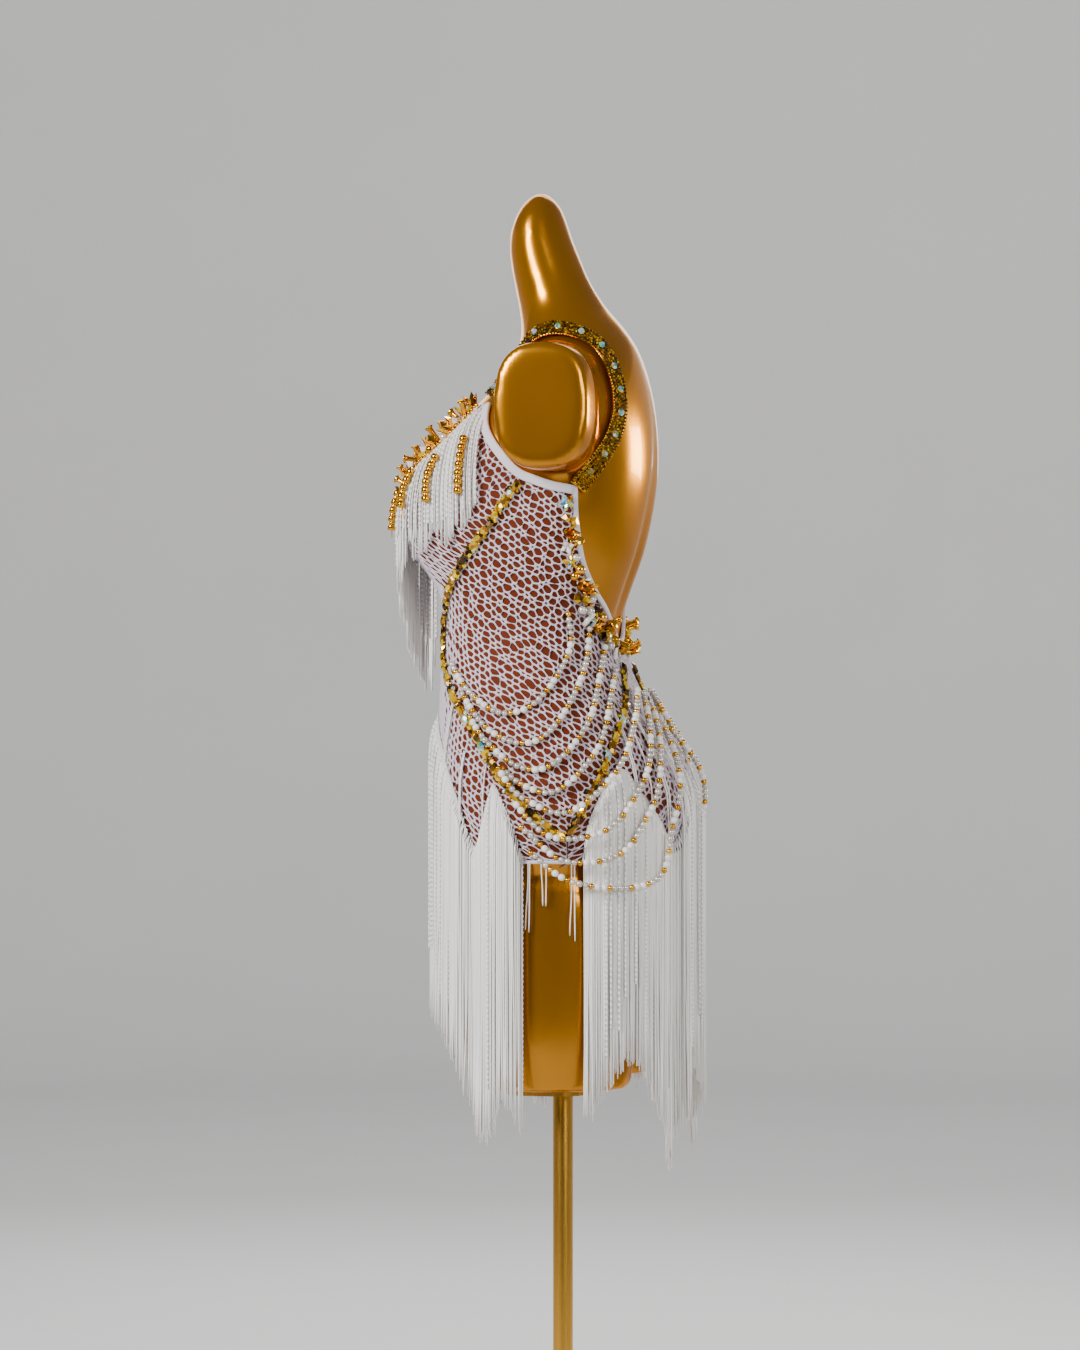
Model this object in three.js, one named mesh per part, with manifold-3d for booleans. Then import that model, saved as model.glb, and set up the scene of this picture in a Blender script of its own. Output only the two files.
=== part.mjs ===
// A latin dance dress on a limbless dress form that stands on a pole and a round base.
//
// Units are millimetres and +Z is up. The wearer's front looks along -Y and the wearer's left is +X.
// The origin is the centre of the base plate's underside, on the floor.
//
// A place on the body is given by an angle round it and a height. The angle is 0 at the wearer's left
// side, -90 at the front and 90 at the back, in degrees. Tables hold the wearer's left side, and the
// right side is its mirror image.

import * as THREE from 'three';
import { mergeVertices } from 'three/addons/utils/BufferGeometryUtils.js';
import Module from 'manifold-3d';

const wasm = await Module();
wasm.setup();

// ---------------------------------------------------------------- driving sizes

const SEAM_GAP_ANGLE = 0.25;
const FORM_INSET = 2.5;
const CLOTH = { inner: 2, outer: 4 };
const TRIM = { inner: 5, outer: 7 };
const STONES = { inner: 5.6, outer: 8.6, width: 7 };
const BEADING = { inner: 6, outer: 8.6 };
const FRINGE_TAPE = { inner: 5.6, outer: 8, width: 4 };
const NET_OFFSET = 8.8;
const OVER_FRINGE_OFFSET = 17;

const COLOURS = {
  form: { color: 0xc88a1c, roughness: 0.3, metalness: 0.2 },
  brass: { color: 0xc9952f, roughness: 0.25, metalness: 1 },
  net: { color: 0xd8cfd6, roughness: 0.8, metalness: 0 },
  elastic: { color: 0xe6e2ea, roughness: 0.7, metalness: 0 },
  fringe: { color: 0xe9e7ea, roughness: 0.6, metalness: 0 },
  gold: { color: 0xd29a2a, roughness: 0.25, metalness: 1 },
  crystal: { color: 0xd8b23a, roughness: 0.1, metalness: 0.3 },
  pearl: { color: 0xefe6da, roughness: 0.2, metalness: 0.1 },
};

// Plan sections of the trunk: the front and back depths at the centre line, half the width, and the
// power of the rounded outline (2 is an ellipse, more is squarer).
const TRUNK = [
  { z: 762, front: -30, back: 40, half: 80, power: 2.0 },
  { z: 775, front: -72, back: 78, half: 136, power: 2.2 },
  { z: 800, front: -98, back: 98, half: 157, power: 2.3 },
  { z: 835, front: -113, back: 108, half: 165, power: 2.3 },
  { z: 870, front: -118, back: 107, half: 163, power: 2.3 },
  { z: 905, front: -119, back: 98, half: 154, power: 2.3 },
  { z: 940, front: -118, back: 84, half: 140, power: 2.3 },
  { z: 975, front: -117, back: 67, half: 123, power: 2.3 },
  { z: 1005, front: -116, back: 57, half: 111, power: 2.3 },
  { z: 1030, front: -116, back: 56, half: 108, power: 2.3 },
  { z: 1060, front: -117, back: 65, half: 113, power: 2.3 },
  { z: 1100, front: -118, back: 79, half: 122, power: 2.3 },
  { z: 1140, front: -117, back: 88, half: 128, power: 2.3 },
  { z: 1178, front: -112, back: 93, half: 130, power: 2.3 },
  { z: 1215, front: -97, back: 93, half: 129, power: 2.3 },
  { z: 1250, front: -71, back: 89, half: 124, power: 2.3 },
  { z: 1280, front: -50, back: 82, half: 113, power: 2.3 },
  { z: 1305, front: -41, back: 73, half: 94, power: 2.2 },
  { z: 1325, front: -40, back: 60, half: 75, power: 2.1 },
  { z: 1345, front: -43, back: 43, half: 61, power: 2.0 },
  { z: 1370, front: -48, back: 27, half: 55, power: 2.0 },
  { z: 1395, front: -52, back: 16, half: 52, power: 2.1 },
  { z: 1415, front: -52, back: 8, half: 50, power: 2.1 },
  { z: 1433, front: -47, back: 2, half: 46, power: 2.1 },
  { z: 1447, front: -39, back: -4, half: 38, power: 2.1 },
  { z: 1456, front: -30, back: -12, half: 24, power: 2.1 },
  { z: 1460, front: -23, back: -18, half: 8, power: 2.0 },
];

// Smooth mounds that the cups and the seat of the dress are cut for, and the hollow down the back.
const BUST = { x: 76, z: 1126, height: 46, reachX: 103, reachUp: 184, reachDown: 90 };
const SEAT = { x: 70, z: 838, height: 25, reachX: 105, reachUp: 141, reachDown: 98 };
const SPINE = { depth: 7, halfWidth: 15, z: 1090, halfHeight: 95 };
const MOUND_EDGE_POWER = 0.8;

// Between these heights a trim hangs straight down from the widest place instead of curving back in:
// in front below the bust, and all round below the hips.
const HANGING_ZONES = [{ low: 1066, high: 1240, lastAngle: -10 }, { low: 780, high: 905, lastAngle: 90 }];
const HANGING_DROP = 60;

const FORM_ANGLES = [-90, -83, -74, -63, -49, -33, -16, 1, 18, 34, 49, 62, 74, 83, 90];

const ARM_STUB = {
  z: 1236,
  power: 2.6,
  sides: 16,
  rings: [
    { x: 60, y: 10, halfDepth: 28, halfHeight: 40 },
    { x: 102, y: 10, halfDepth: 36, halfHeight: 54 },
    { x: 124, y: 11, halfDepth: 45, halfHeight: 61 },
    { x: 160, y: 11, halfDepth: 48, halfHeight: 62 },
    { x: 180, y: 9, halfDepth: 45, halfHeight: 60 },
    { x: 187, y: 9, halfDepth: 38, halfHeight: 52 },
  ],
};

const THIGH = {
  power: 2.0,
  sides: 14,
  rings: [
    { z: 806, x: 80, halfWidth: 58, halfDepth: 66 },
    { z: 775, x: 86, halfWidth: 67, halfDepth: 84 },
    { z: 740, x: 87, halfWidth: 68, halfDepth: 93 },
    { z: 680, x: 87, halfWidth: 68, halfDepth: 92 },
    { z: 620, x: 86, halfWidth: 67, halfDepth: 86 },
    { z: 575, x: 82, halfWidth: 63, halfDepth: 80 },
  ],
};

// Heights that every lower panel has a row at, so that the two sides of a seam stay parallel.
const SEAM_ROWS = [798, 820, 824, 856, 888, 920, 950, 976, 996, 1012, 1036, 1060];
const UPPER_ROWS = 5;
const SIDE_TIP_Z = 824;
const BACK_TOP_Z = 1012;
const CHEST_Z = 1060;
const HIP_SEAM_ANGLE = 14.5;

// The seam between the front panel and the side panel, and the one behind it.
const FRONT_SEAM = [
  { z: 824, angle: 13 },
  { z: 832, angle: 7 },
  { z: 847, angle: -0.5 },
  { z: 872, angle: -9 },
  { z: 900, angle: -17 },
  { z: 929, angle: -27 },
  { z: 963, angle: -43.5 },
  { z: 993, angle: -56 },
  { z: 1023, angle: -58 },
  { z: 1053, angle: -49.5 },
  { z: 1077, angle: -33.5 },
  { z: 1098, angle: -22.5 },
  { z: 1119, angle: -14.5 },
  { z: 1145, angle: -8 },
  { z: 1174.5, angle: -1.5 },
];
const BACK_SEAM = [
  { z: 824, angle: 16 },
  { z: 839, angle: 19.5 },
  { z: 858, angle: 24.5 },
  { z: 881, angle: 32 },
  { z: 909, angle: 41.5 },
  { z: 933, angle: 52.5 },
  { z: 962, angle: 69 },
  { z: 985, angle: 78 },
  { z: 1012, angle: 84 },
];
const BACK_OPENING = [
  { z: 1012, angle: 84 },
  { z: 1025, angle: 75 },
  { z: 1041, angle: 63 },
  { z: 1062, angle: 46 },
  { z: 1091, angle: 32 },
  { z: 1129, angle: 24.5 },
  { z: 1161, angle: 21.5 },
];

// The front panel's top edge, from the centre front up the neckline to the strap and down the armhole.
const FRONT_TOP = [
  { angle: -90, z: 1100 },
  { angle: -80, z: 1119 },
  { angle: -71, z: 1146 },
  { angle: -66, z: 1166 },
  { angle: -60.5, z: 1187 },
  { angle: -52.5, z: 1203 },
  { angle: -48, z: 1222 },
  { angle: -47, z: 1241 },
  { angle: -38, z: 1242 },
  { angle: -27.5, z: 1221 },
  { angle: -14, z: 1197 },
  { angle: -1.5, z: 1174.5 },
];
const NECKLINE_POINTS = 8;
const SIDE_TOP = [
  { angle: -1.5, z: 1174.5 },
  { angle: 8.5, z: 1166 },
  { angle: 21.5, z: 1161 },
];
const SIDE_COLUMNS = 8;
const BACK_COLUMNS = 8;

const GUSSET = { halfWidth: 15, endGap: 0.8, frontZ: [798, 788, 778, 768], underY: [-26, 5, 36] };

const BINDING = { width: 8.5, shift: -4.4 };
const BACK_BINDING = { width: 4, shift: 2.2, startShare: 0.12, middleDrop: 2 };
const STRAP = { width: 20, ...TRIM };
const STRAP_PATH = [
  { angle: -42.5, z: 1249 },
  { angle: -41, z: 1280 },
  { angle: -34, z: 1303 },
  { angle: -13, z: 1314 },
  { angle: 10, z: 1311 },
  { angle: 31, z: 1296 },
  { angle: 42, z: 1268 },
  { angle: 45, z: 1238 },
  { angle: 41, z: 1210 },
  { angle: 33, z: 1186 },
  { angle: 26, z: 1168 },
];

const STONE_FRONT = [
  { angle: -3.6, z: 1162 },
  { angle: -8, z: 1145 },
  { angle: -14.5, z: 1119 },
  { angle: -22.5, z: 1098 },
  { angle: -33.5, z: 1077 },
  { angle: -49.5, z: 1053 },
  { angle: -58, z: 1023 },
  { angle: -56, z: 993 },
  { angle: -43.5, z: 963 },
  { angle: -27, z: 929 },
  { angle: -17, z: 900 },
  { angle: -9, z: 872 },
  { angle: -0.5, z: 847 },
  { angle: 7, z: 831 },
  { angle: 11.6, z: 824 },
];
const STONE_BACK = [
  { angle: 77, z: 982 },
  { angle: 69, z: 962 },
  { angle: 52.5, z: 933 },
  { angle: 41.5, z: 909 },
  { angle: 32, z: 881 },
  { angle: 24.5, z: 858 },
  { angle: 19, z: 839 },
  { angle: 16, z: 829 },
];

const BACK_BEADING_PATH = [
  { angle: 20.2, z: 1151, width: 5 },
  { angle: 20.8, z: 1129, width: 5 },
  { angle: 24, z: 1100, width: 7 },
  { angle: 32, z: 1074, width: 10 },
  { angle: 44, z: 1049, width: 12 },
  { angle: 58, z: 1029, width: 13 },
  { angle: 72, z: 1010, width: 13 },
  { angle: 81, z: 998, width: 9 },
];

const NECK_FRINGE = {
  strands: 17,
  topGap: 12,
  offset: 9.2,
  shift: -7.5,
};
const NECK_HEM = [
  { angle: -90, z: 953 },
  { angle: -80, z: 985 },
  { angle: -73, z: 1020 },
  { angle: -63, z: 1075 },
  { angle: -48.5, z: 1100 },
  { angle: -42.5, z: 1107 },
  { angle: -33, z: 1115 },
  { angle: -26, z: 1132 },
  { angle: -18, z: 1142 },
];
const NECK_BEADING = { width: 4.5, shift: 1.6, centreGapShare: 0.2 };
const NECK_BUGLES = { every: 3, shortest: 10, longest: 18 };
const BACK_BUGLES = { every: 3, shortest: 8, longest: 17 };
const BUGLE = { sides: 3, out: 0.75, across: 1, along: 0.9, rootRadius: 1.3, tipRadius: 2.1, rise: 0.5 };

const HIP_ROOT_FRONT = [
  { angle: -4.5, z: 803 },
  { angle: -7, z: 830 },
  { angle: -11, z: 856 },
  { angle: -14.5, z: 870 },
  { angle: -17.5, z: 858 },
  { angle: -21.5, z: 838 },
  { angle: -30.5, z: 810 },
  { angle: -36.5, z: 848 },
  { angle: -47, z: 887 },
  { angle: -58, z: 915 },
  { angle: -72, z: 936 },
  { angle: -90, z: 925 },
];
const HIP_ROOT_BACK = [
  { angle: 22.5, z: 803 },
  { angle: 24, z: 830 },
  { angle: 29.5, z: 855 },
  { angle: 38, z: 880 },
  { angle: 45, z: 868 },
  { angle: 52, z: 912 },
  { angle: 57, z: 862 },
  { angle: 61, z: 914 },
  { angle: 66, z: 835 },
  { angle: 73, z: 912 },
  { angle: 82, z: 812 },
  { angle: 90, z: 925 },
];
const HEM_FRONT = [
  { angle: -4, z: 533 },
  { angle: -6, z: 556 },
  { angle: -10.5, z: 573 },
  { angle: -17.5, z: 533 },
  { angle: -24, z: 537 },
  { angle: -32, z: 567 },
  { angle: -37, z: 605 },
  { angle: -53, z: 641 },
  { angle: -81, z: 652 },
  { angle: -90, z: 648 },
];
const HEM_BACK = [
  { angle: 21, z: 561 },
  { angle: 25, z: 556 },
  { angle: 29.5, z: 575 },
  { angle: 35, z: 589 },
  { angle: 42, z: 612 },
  { angle: 47, z: 602 },
  { angle: 53.5, z: 567 },
  { angle: 59, z: 536 },
  { angle: 62, z: 500 },
  { angle: 69, z: 536 },
  { angle: 77, z: 566 },
  { angle: 90, z: 619 },
];
const HIP_FRINGE = { strandsPerSide: 27, offset: 8.8 };
const STRAND = {
  width: 4.6,
  thickness: 3,
  fill: 0.6,
  rootLength: 9,
  foldStep: 45,
  step: 3,
  leaves: -0.02,
};

// Pearl swags of one hip, from the top one down: where each hangs, and how far out it lies.
const SWAGS = [
  { offset: NET_OFFSET, route: [[30, 1040], [33, 1012], [20.5, 976], [-4.5, 941], [-24.5, 960], [-43, 993]] },
  { offset: NET_OFFSET, route: [[47, 1026], [43, 997], [26, 955], [2, 913], [-13, 923], [-33, 965]] },
  { offset: NET_OFFSET, route: [[60, 1008], [47, 973], [24.5, 918], [3, 887], [-14.5, 911], [-27, 942]] },
  { offset: NET_OFFSET, route: [[65, 985], [48, 950], [31, 904], [7, 865], [-5, 879], [-11, 893]] },
  { offset: OVER_FRINGE_OFFSET, route: [[74, 965], [54, 928], [35.5, 882], [12, 846], [-2, 862], [-10, 890]] },
  { offset: OVER_FRINGE_OFFSET, route: [[80, 962], [62, 920], [45.5, 867], [31, 830], [7, 824], [-5, 859]] },
  { offset: OVER_FRINGE_OFFSET, route: [[81.5, 945], [61, 900], [49, 846], [37, 807], [12, 801], [-3, 835]] },
  { offset: OVER_FRINGE_OFFSET, route: [[84, 926], [68, 886], [59, 840], [52, 781], [15, 781], [-1.5, 813]] },
];
const SWAG_TUBE = { radius: 2.7, sides: 4, steps: 10 };

const STRINGS = [
  { route: [[-39, 1207], [-33, 1181], [-28.5, 1151]] },
  { route: [[-48, 1191], [-45.5, 1170], [-42, 1146]] },
  { route: [[-57.5, 1179], [-56.5, 1157], [-54, 1134]] },
  { route: [[-65, 1160], [-65, 1138], [-65, 1112]] },
];
const STRING_TUBE = { radius: 2.8, sides: 4, steps: 3, offset: 16 };

const PLATE = { length: 232, width: 84, thickness: 6, corner: 30, top: 574.7, curveSegments: 3 };
const POLE = { radius: 10, bottom: 8.4, top: 568.4 };
const BASE = { radius: 170, edge: 5, thickness: 8, hub: 26, hubTop: 24, hubChamfer: 3, bore: 10.5 };
const ROUND_SIDES = 20;

// ---------------------------------------------------------------- the body's surface

const radians = THREE.MathUtils.degToRad;

function clamp01(value) {
  return Math.min(1, Math.max(0, value));
}

function signedPower(value, power) {
  return Math.sign(value) * Math.abs(value) ** power;
}

// A value of a table's column, on straight lines between its rows.
function linear(table, key, at, column) {
  const rising = table[0][key] < table[table.length - 1][key];
  const rows = rising ? table : [...table].reverse();
  let i = 0;
  while (i < rows.length - 2 && at > rows[i + 1][key]) {
    i += 1;
  }
  const share = clamp01((at - rows[i][key]) / (rows[i + 1][key] - rows[i][key]));
  return THREE.MathUtils.lerp(rows[i][column], rows[i + 1][column], share);
}

// The same on a smooth curve: a cubic between rows, with slopes taken from the rows on both sides.
function smooth(table, key, at, column) {
  const last = table.length - 1;
  let i = 0;
  while (i < last - 1 && at > table[i + 1][key]) {
    i += 1;
  }
  const slope = (j) => {
    const a = table[Math.max(0, j - 1)];
    const b = table[Math.min(last, j + 1)];
    return (b[column] - a[column]) / (b[key] - a[key]);
  };
  const low = table[i];
  const high = table[i + 1];
  const span = high[key] - low[key];
  const t = clamp01((at - low[key]) / span);
  const t2 = t * t;
  const t3 = t2 * t;
  return (2 * t3 - 3 * t2 + 1) * low[column]
    + (t3 - 2 * t2 + t) * span * slope(i)
    + (3 * t2 - 2 * t3) * high[column]
    + (t3 - t2) * span * slope(i + 1);
}

function mound(shape, x, z) {
  const reach = z > shape.z ? shape.reachUp : shape.reachDown;
  const across = (Math.abs(x) - shape.x) / shape.reachX;
  const along = (z - shape.z) / reach;
  return shape.height * clamp01(1 - across * across - along * along) ** 3;
}

function trunkPoint(angle, z) {
  const c = Math.cos(radians(angle));
  const s = Math.sin(radians(angle));
  const power = 2 / smooth(TRUNK, 'z', z, 'power');
  const front = smooth(TRUNK, 'z', z, 'front');
  const back = smooth(TRUNK, 'z', z, 'back');
  const x = smooth(TRUNK, 'z', z, 'half') * signedPower(c, power);
  let y = (front + back) / 2 + ((back - front) / 2) * signedPower(s, power);
  const toFront = clamp01(-s) ** MOUND_EDGE_POWER;
  const toBack = clamp01(s) ** MOUND_EDGE_POWER;
  y -= mound(BUST, x, z) * toFront;
  y += mound(SEAT, x, z) * toBack;
  const spine = Math.exp(-((x / SPINE.halfWidth) ** 2) - ((z - SPINE.z) / SPINE.halfHeight) ** 2);
  y -= SPINE.depth * spine * toBack;
  return new THREE.Vector3(x, y, z);
}

function outward(angle, z) {
  const round = trunkPoint(angle + 0.5, z).sub(trunkPoint(angle - 0.5, z));
  const up = trunkPoint(angle, z + 2).sub(trunkPoint(angle, z - 2));
  return round.cross(up).normalize();
}

function skin(angle, z, offset) {
  return trunkPoint(angle, z).addScaledVector(outward(angle, z), offset);
}

// The height of the widest place of the bust or the hips, below which whatever lies on it hangs free.
function widestZ(angle, { low, high }) {
  const out = outward(angle, (low + high) / 2).setZ(0).normalize();
  let widest = high;
  let reach = 0;
  for (let z = high; z >= low; z -= 3) {
    const here = trunkPoint(angle, z).setZ(0).dot(out);
    if (here > reach) {
      widest = z;
      reach = here;
    }
  }
  return widest;
}

// A place of the surface, or straight below the widest place above it.
function hanging(angle, z, offset) {
  const zone = HANGING_ZONES.find(
    ({ low, high, lastAngle }) => z > low - HANGING_DROP && z < high && angle <= lastAngle,
  );
  if (!zone) {
    return skin(angle, z, offset);
  }
  return skin(angle, Math.max(z, widestZ(angle, zone)), offset).setZ(z);
}

// ---------------------------------------------------------------- solids from points

function signedVolume(points, triangles) {
  let volume = 0;
  for (const [a, b, c] of triangles) {
    volume += points[a].dot(new THREE.Vector3().crossVectors(points[b], points[c]));
  }
  return volume / 6;
}

function solid(points, triangles) {
  const inward = signedVolume(points, triangles) < 0;
  const index = triangles.flatMap(([a, b, c]) => (inward ? [a, c, b] : [a, b, c]));
  const geometry = new THREE.BufferGeometry();
  const flat = points.flatMap((p) => [p.x, p.y, p.z]);
  geometry.setAttribute('position', new THREE.Float32BufferAttribute(flat, 3));
  geometry.setIndex(index);
  geometry.computeVertexNormals();
  return geometry;
}

// A closed solid through rings of equally many points, with a flat end on the first and last ring.
function loft(rings) {
  const sides = rings[0].length;
  const triangles = [];
  for (let r = 0; r < rings.length - 1; r += 1) {
    for (let i = 0; i < sides; i += 1) {
      const a = r * sides + i;
      const b = r * sides + ((i + 1) % sides);
      triangles.push([a, b, b + sides], [a, b + sides, a + sides]);
    }
  }
  const top = (rings.length - 1) * sides;
  for (let i = 1; i < sides - 1; i += 1) {
    triangles.push([0, i + 1, i], [top, top + i, top + i + 1]);
  }
  return solid(rings.flat(), triangles);
}

// A wall over a grid of places on the body, from one offset to another.
function wall(grid, { inner, outer }) {
  const columns = grid[0].length;
  const rows = grid.length;
  const places = grid.flat();
  const outside = places.map((p) => skin(p.angle, p.z, outer));
  const inside = places.map((p) => skin(p.angle, p.z, inner));
  const count = places.length;
  const triangles = [];
  for (let r = 0; r < rows - 1; r += 1) {
    for (let c = 0; c < columns - 1; c += 1) {
      const a = r * columns + c;
      const b = a + columns;
      triangles.push([a, a + 1, b + 1], [a, b + 1, b]);
      triangles.push([count + a, count + b + 1, count + a + 1], [count + a, count + b, count + b + 1]);
    }
  }
  const edge = [];
  for (let c = 0; c < columns; c += 1) {
    edge.push(c);
  }
  for (let r = 1; r < rows; r += 1) {
    edge.push(r * columns + columns - 1);
  }
  for (let c = columns - 2; c >= 0; c -= 1) {
    edge.push((rows - 1) * columns + c);
  }
  for (let r = rows - 2; r > 0; r -= 1) {
    edge.push(r * columns);
  }
  edge.forEach((a, i) => {
    const b = edge[(i + 1) % edge.length];
    triangles.push([a, count + a, count + b], [a, count + b, b]);
  });
  return solid([...outside, ...inside], triangles);
}

function mirrorGeometry(geometry) {
  const copy = geometry.clone().scale(-1, 1, 1);
  const index = copy.index ? Array.from(copy.index.array) : null;
  const order = index ?? Array.from({ length: copy.attributes.position.count }, (_, i) => i);
  for (let i = 0; i < order.length; i += 3) {
    [order[i + 1], order[i + 2]] = [order[i + 2], order[i + 1]];
  }
  copy.setIndex(order);
  copy.computeVertexNormals();
  return copy;
}

function toManifold(geometry) {
  const bare = geometry.clone();
  bare.deleteAttribute('normal');
  bare.deleteAttribute('uv');
  const merged = mergeVertices(bare, 1e-4);
  return new wasm.Manifold(new wasm.Mesh({
    numProp: 3,
    vertProperties: new Float32Array(merged.attributes.position.array),
    triVerts: new Uint32Array(merged.index.array),
  }));
}

function union(geometries) {
  const joined = geometries.map(toManifold).reduce((a, b) => a.add(b));
  const mesh = joined.getMesh();
  const geometry = new THREE.BufferGeometry();
  geometry.setAttribute('position', new THREE.Float32BufferAttribute(mesh.vertProperties, 3));
  geometry.setIndex(Array.from(mesh.triVerts));
  geometry.computeVertexNormals();
  return geometry;
}

// ---------------------------------------------------------------- paths on the body

const ANGLE_TO_MM = 2.3;

// How far apart the places of a path are, for each kind of piece that follows one.
const PATH_STEP = { binding: 15, strap: 13, stones: 18, beading: 9, tube: 14, hipRoot: 3, neckRoot: 2 };

// Evenly spaced places along a smooth path through a table's rows.
function pathThrough(rows, step) {
  const knots = rows.map((row) => new THREE.Vector3(row.angle * ANGLE_TO_MM, row.z, row.width ?? 0));
  const curve = new THREE.CatmullRomCurve3(knots);
  const count = Math.max(2, Math.round(curve.getLength() / step));
  return curve.getSpacedPoints(count).map((p) => ({ angle: p.x / ANGLE_TO_MM, z: p.y, width: p.z }));
}

// The direction of a path, and the direction across it within the surface, at one of its places.
function frameAt(path, i) {
  const before = path[Math.max(0, i - 1)];
  const after = path[Math.min(path.length - 1, i + 1)];
  const along = trunkPoint(after.angle, after.z).sub(trunkPoint(before.angle, before.z)).normalize();
  const out = outward(path[i].angle, path[i].z);
  const across = new THREE.Vector3().crossVectors(out, along).normalize();
  return { out, across };
}

// A flat band along a path: a box section whose width and height may change from place to place.
function band(path, sectionAt) {
  const rings = path.map((place, i) => {
    const { out, across } = frameAt(path, i);
    const { width, inner, outer, shift = 0 } = sectionAt(place, i);
    const corner = (side, offset) => trunkPoint(place.angle, place.z)
      .addScaledVector(across, shift + (side * width) / 2)
      .addScaledVector(out, offset);
    return [corner(-1, inner), corner(1, inner), corner(1, outer), corner(-1, outer)];
  });
  return loft(rings);
}

function otherSide(angle) {
  return angle < 0 ? -180 - angle : 180 - angle;
}

// A path from the left side to the centre line, carried on to the right side.
function bothSides(rows) {
  const back = rows.slice(0, -1).reverse();
  return [...rows, ...back.map((row) => ({ ...row, angle: otherSide(row.angle) }))];
}

function tube(points, { radius, sides, steps }) {
  const section = new THREE.Shape();
  for (let i = 0; i < sides; i += 1) {
    const turn = (2 * Math.PI * i) / sides;
    const x = radius * Math.cos(turn);
    const y = radius * Math.sin(turn);
    if (i === 0) {
      section.moveTo(x, y);
    } else {
      section.lineTo(x, y);
    }
  }
  const extrudePath = new THREE.CatmullRomCurve3(points);
  return new THREE.ExtrudeGeometry(section, { steps, extrudePath, bevelEnabled: false });
}

// A repeatable scatter between 0 and 1, so that trims are uneven without being random.
function scatter(i, salt) {
  const value = Math.sin(i * 12.9898 + salt * 78.233) * 43758.5453;
  return value - Math.floor(value);
}

// ---------------------------------------------------------------- the dress form and its stand

function superellipse(sides, power, place) {
  const ring = [];
  for (let i = 0; i < sides; i += 1) {
    const turn = (2 * Math.PI * (i + 0.5)) / sides;
    ring.push(place(signedPower(Math.cos(turn), 2 / power), signedPower(Math.sin(turn), 2 / power)));
  }
  return ring;
}

function formBody() {
  const angles = [...FORM_ANGLES, ...FORM_ANGLES.slice(1, -1).reverse().map((a) => 180 - a)];
  const trunk = loft(TRUNK.map(({ z }) => angles.map((angle) => skin(angle, z, -FORM_INSET).setZ(z))));
  const stub = loft(ARM_STUB.rings.map((ring) => superellipse(
    ARM_STUB.sides,
    ARM_STUB.power,
    (c, s) => new THREE.Vector3(ring.x, ring.y + ring.halfDepth * c, ARM_STUB.z + ring.halfHeight * s),
  )));
  const thigh = loft(THIGH.rings.map((ring) => superellipse(
    THIGH.sides,
    THIGH.power,
    (c, s) => new THREE.Vector3(ring.x + ring.halfWidth * c, ring.halfDepth * s, ring.z),
  )));
  return union([trunk, stub, mirrorGeometry(stub), thigh, mirrorGeometry(thigh)]);
}

function roundedPlate({ length, width, thickness, corner, top, curveSegments }) {
  const shape = new THREE.Shape();
  const x = length / 2;
  const y = width / 2;
  shape.moveTo(-x + corner, -y);
  shape.lineTo(x - corner, -y);
  shape.absarc(x - corner, -y + corner, corner, -Math.PI / 2, 0);
  shape.lineTo(x, y - corner);
  shape.absarc(x - corner, y - corner, corner, 0, Math.PI / 2);
  shape.lineTo(-x + corner, y);
  shape.absarc(-x + corner, y - corner, corner, Math.PI / 2, Math.PI);
  shape.lineTo(-x, -y + corner);
  shape.absarc(-x + corner, -y + corner, corner, Math.PI, 1.5 * Math.PI);
  const plate = new THREE.ExtrudeGeometry(shape, { depth: thickness, bevelEnabled: false, curveSegments });
  return plate.translate(0, 0, top - thickness);
}

// A turned piece about the Z axis, from a closed outline of radius and height.
function turned(outline) {
  const profile = outline.map(([radius, z]) => new THREE.Vector2(radius, z));
  return new THREE.LatheGeometry(profile, ROUND_SIDES).rotateX(Math.PI / 2);
}

function standPole() {
  return turned([[0, POLE.bottom], [POLE.radius, POLE.bottom], [POLE.radius, POLE.top], [0, POLE.top]]);
}

function standBase() {
  const { radius, edge, thickness, hub, hubTop, hubChamfer, bore } = BASE;
  return turned([
    [0, 0],
    [radius, 0],
    [radius, edge],
    [radius - edge, thickness],
    [hub, thickness],
    [hub - hubChamfer, hubTop],
    [bore, hubTop],
    [bore, thickness],
    [0, thickness],
  ]);
}

// ---------------------------------------------------------------- the cut pieces of the dress

function frontSeam(z) {
  return z < SIDE_TIP_Z ? HIP_SEAM_ANGLE : linear(FRONT_SEAM, 'z', z, 'angle');
}

function backSeam(z) {
  return z < SIDE_TIP_Z ? HIP_SEAM_ANGLE : linear(BACK_SEAM, 'z', z, 'angle');
}

function sideBackEdge(z) {
  return z > BACK_TOP_Z ? linear(BACK_OPENING, 'z', z, 'angle') : backSeam(z) - SEAM_GAP_ANGLE;
}

function mix(a, b, t) {
  return { angle: THREE.MathUtils.lerp(a.angle, b.angle, t), z: THREE.MathUtils.lerp(a.z, b.z, t) };
}

// A place inside four edges: the blend of the bottom and top edges and of the two sides, less the
// blend of the four corners.
function patch(bottom, top, left, right, s, t) {
  const upright = mix(bottom(s), top(s), t);
  const level = mix(left(t), right(t), s);
  const corners = mix(mix(bottom(0), bottom(1), s), mix(top(0), top(1), s), t);
  return {
    angle: upright.angle + level.angle - corners.angle,
    z: upright.z + level.z - corners.z,
  };
}

// Steps along a table's rows, with 0 at the first and 1 at the last.
function alongRows(rows, s) {
  const at = clamp01(s) * (rows.length - 1);
  const i = Math.min(rows.length - 2, Math.floor(at));
  return mix(rows[i], rows[i + 1], at - i);
}

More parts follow.
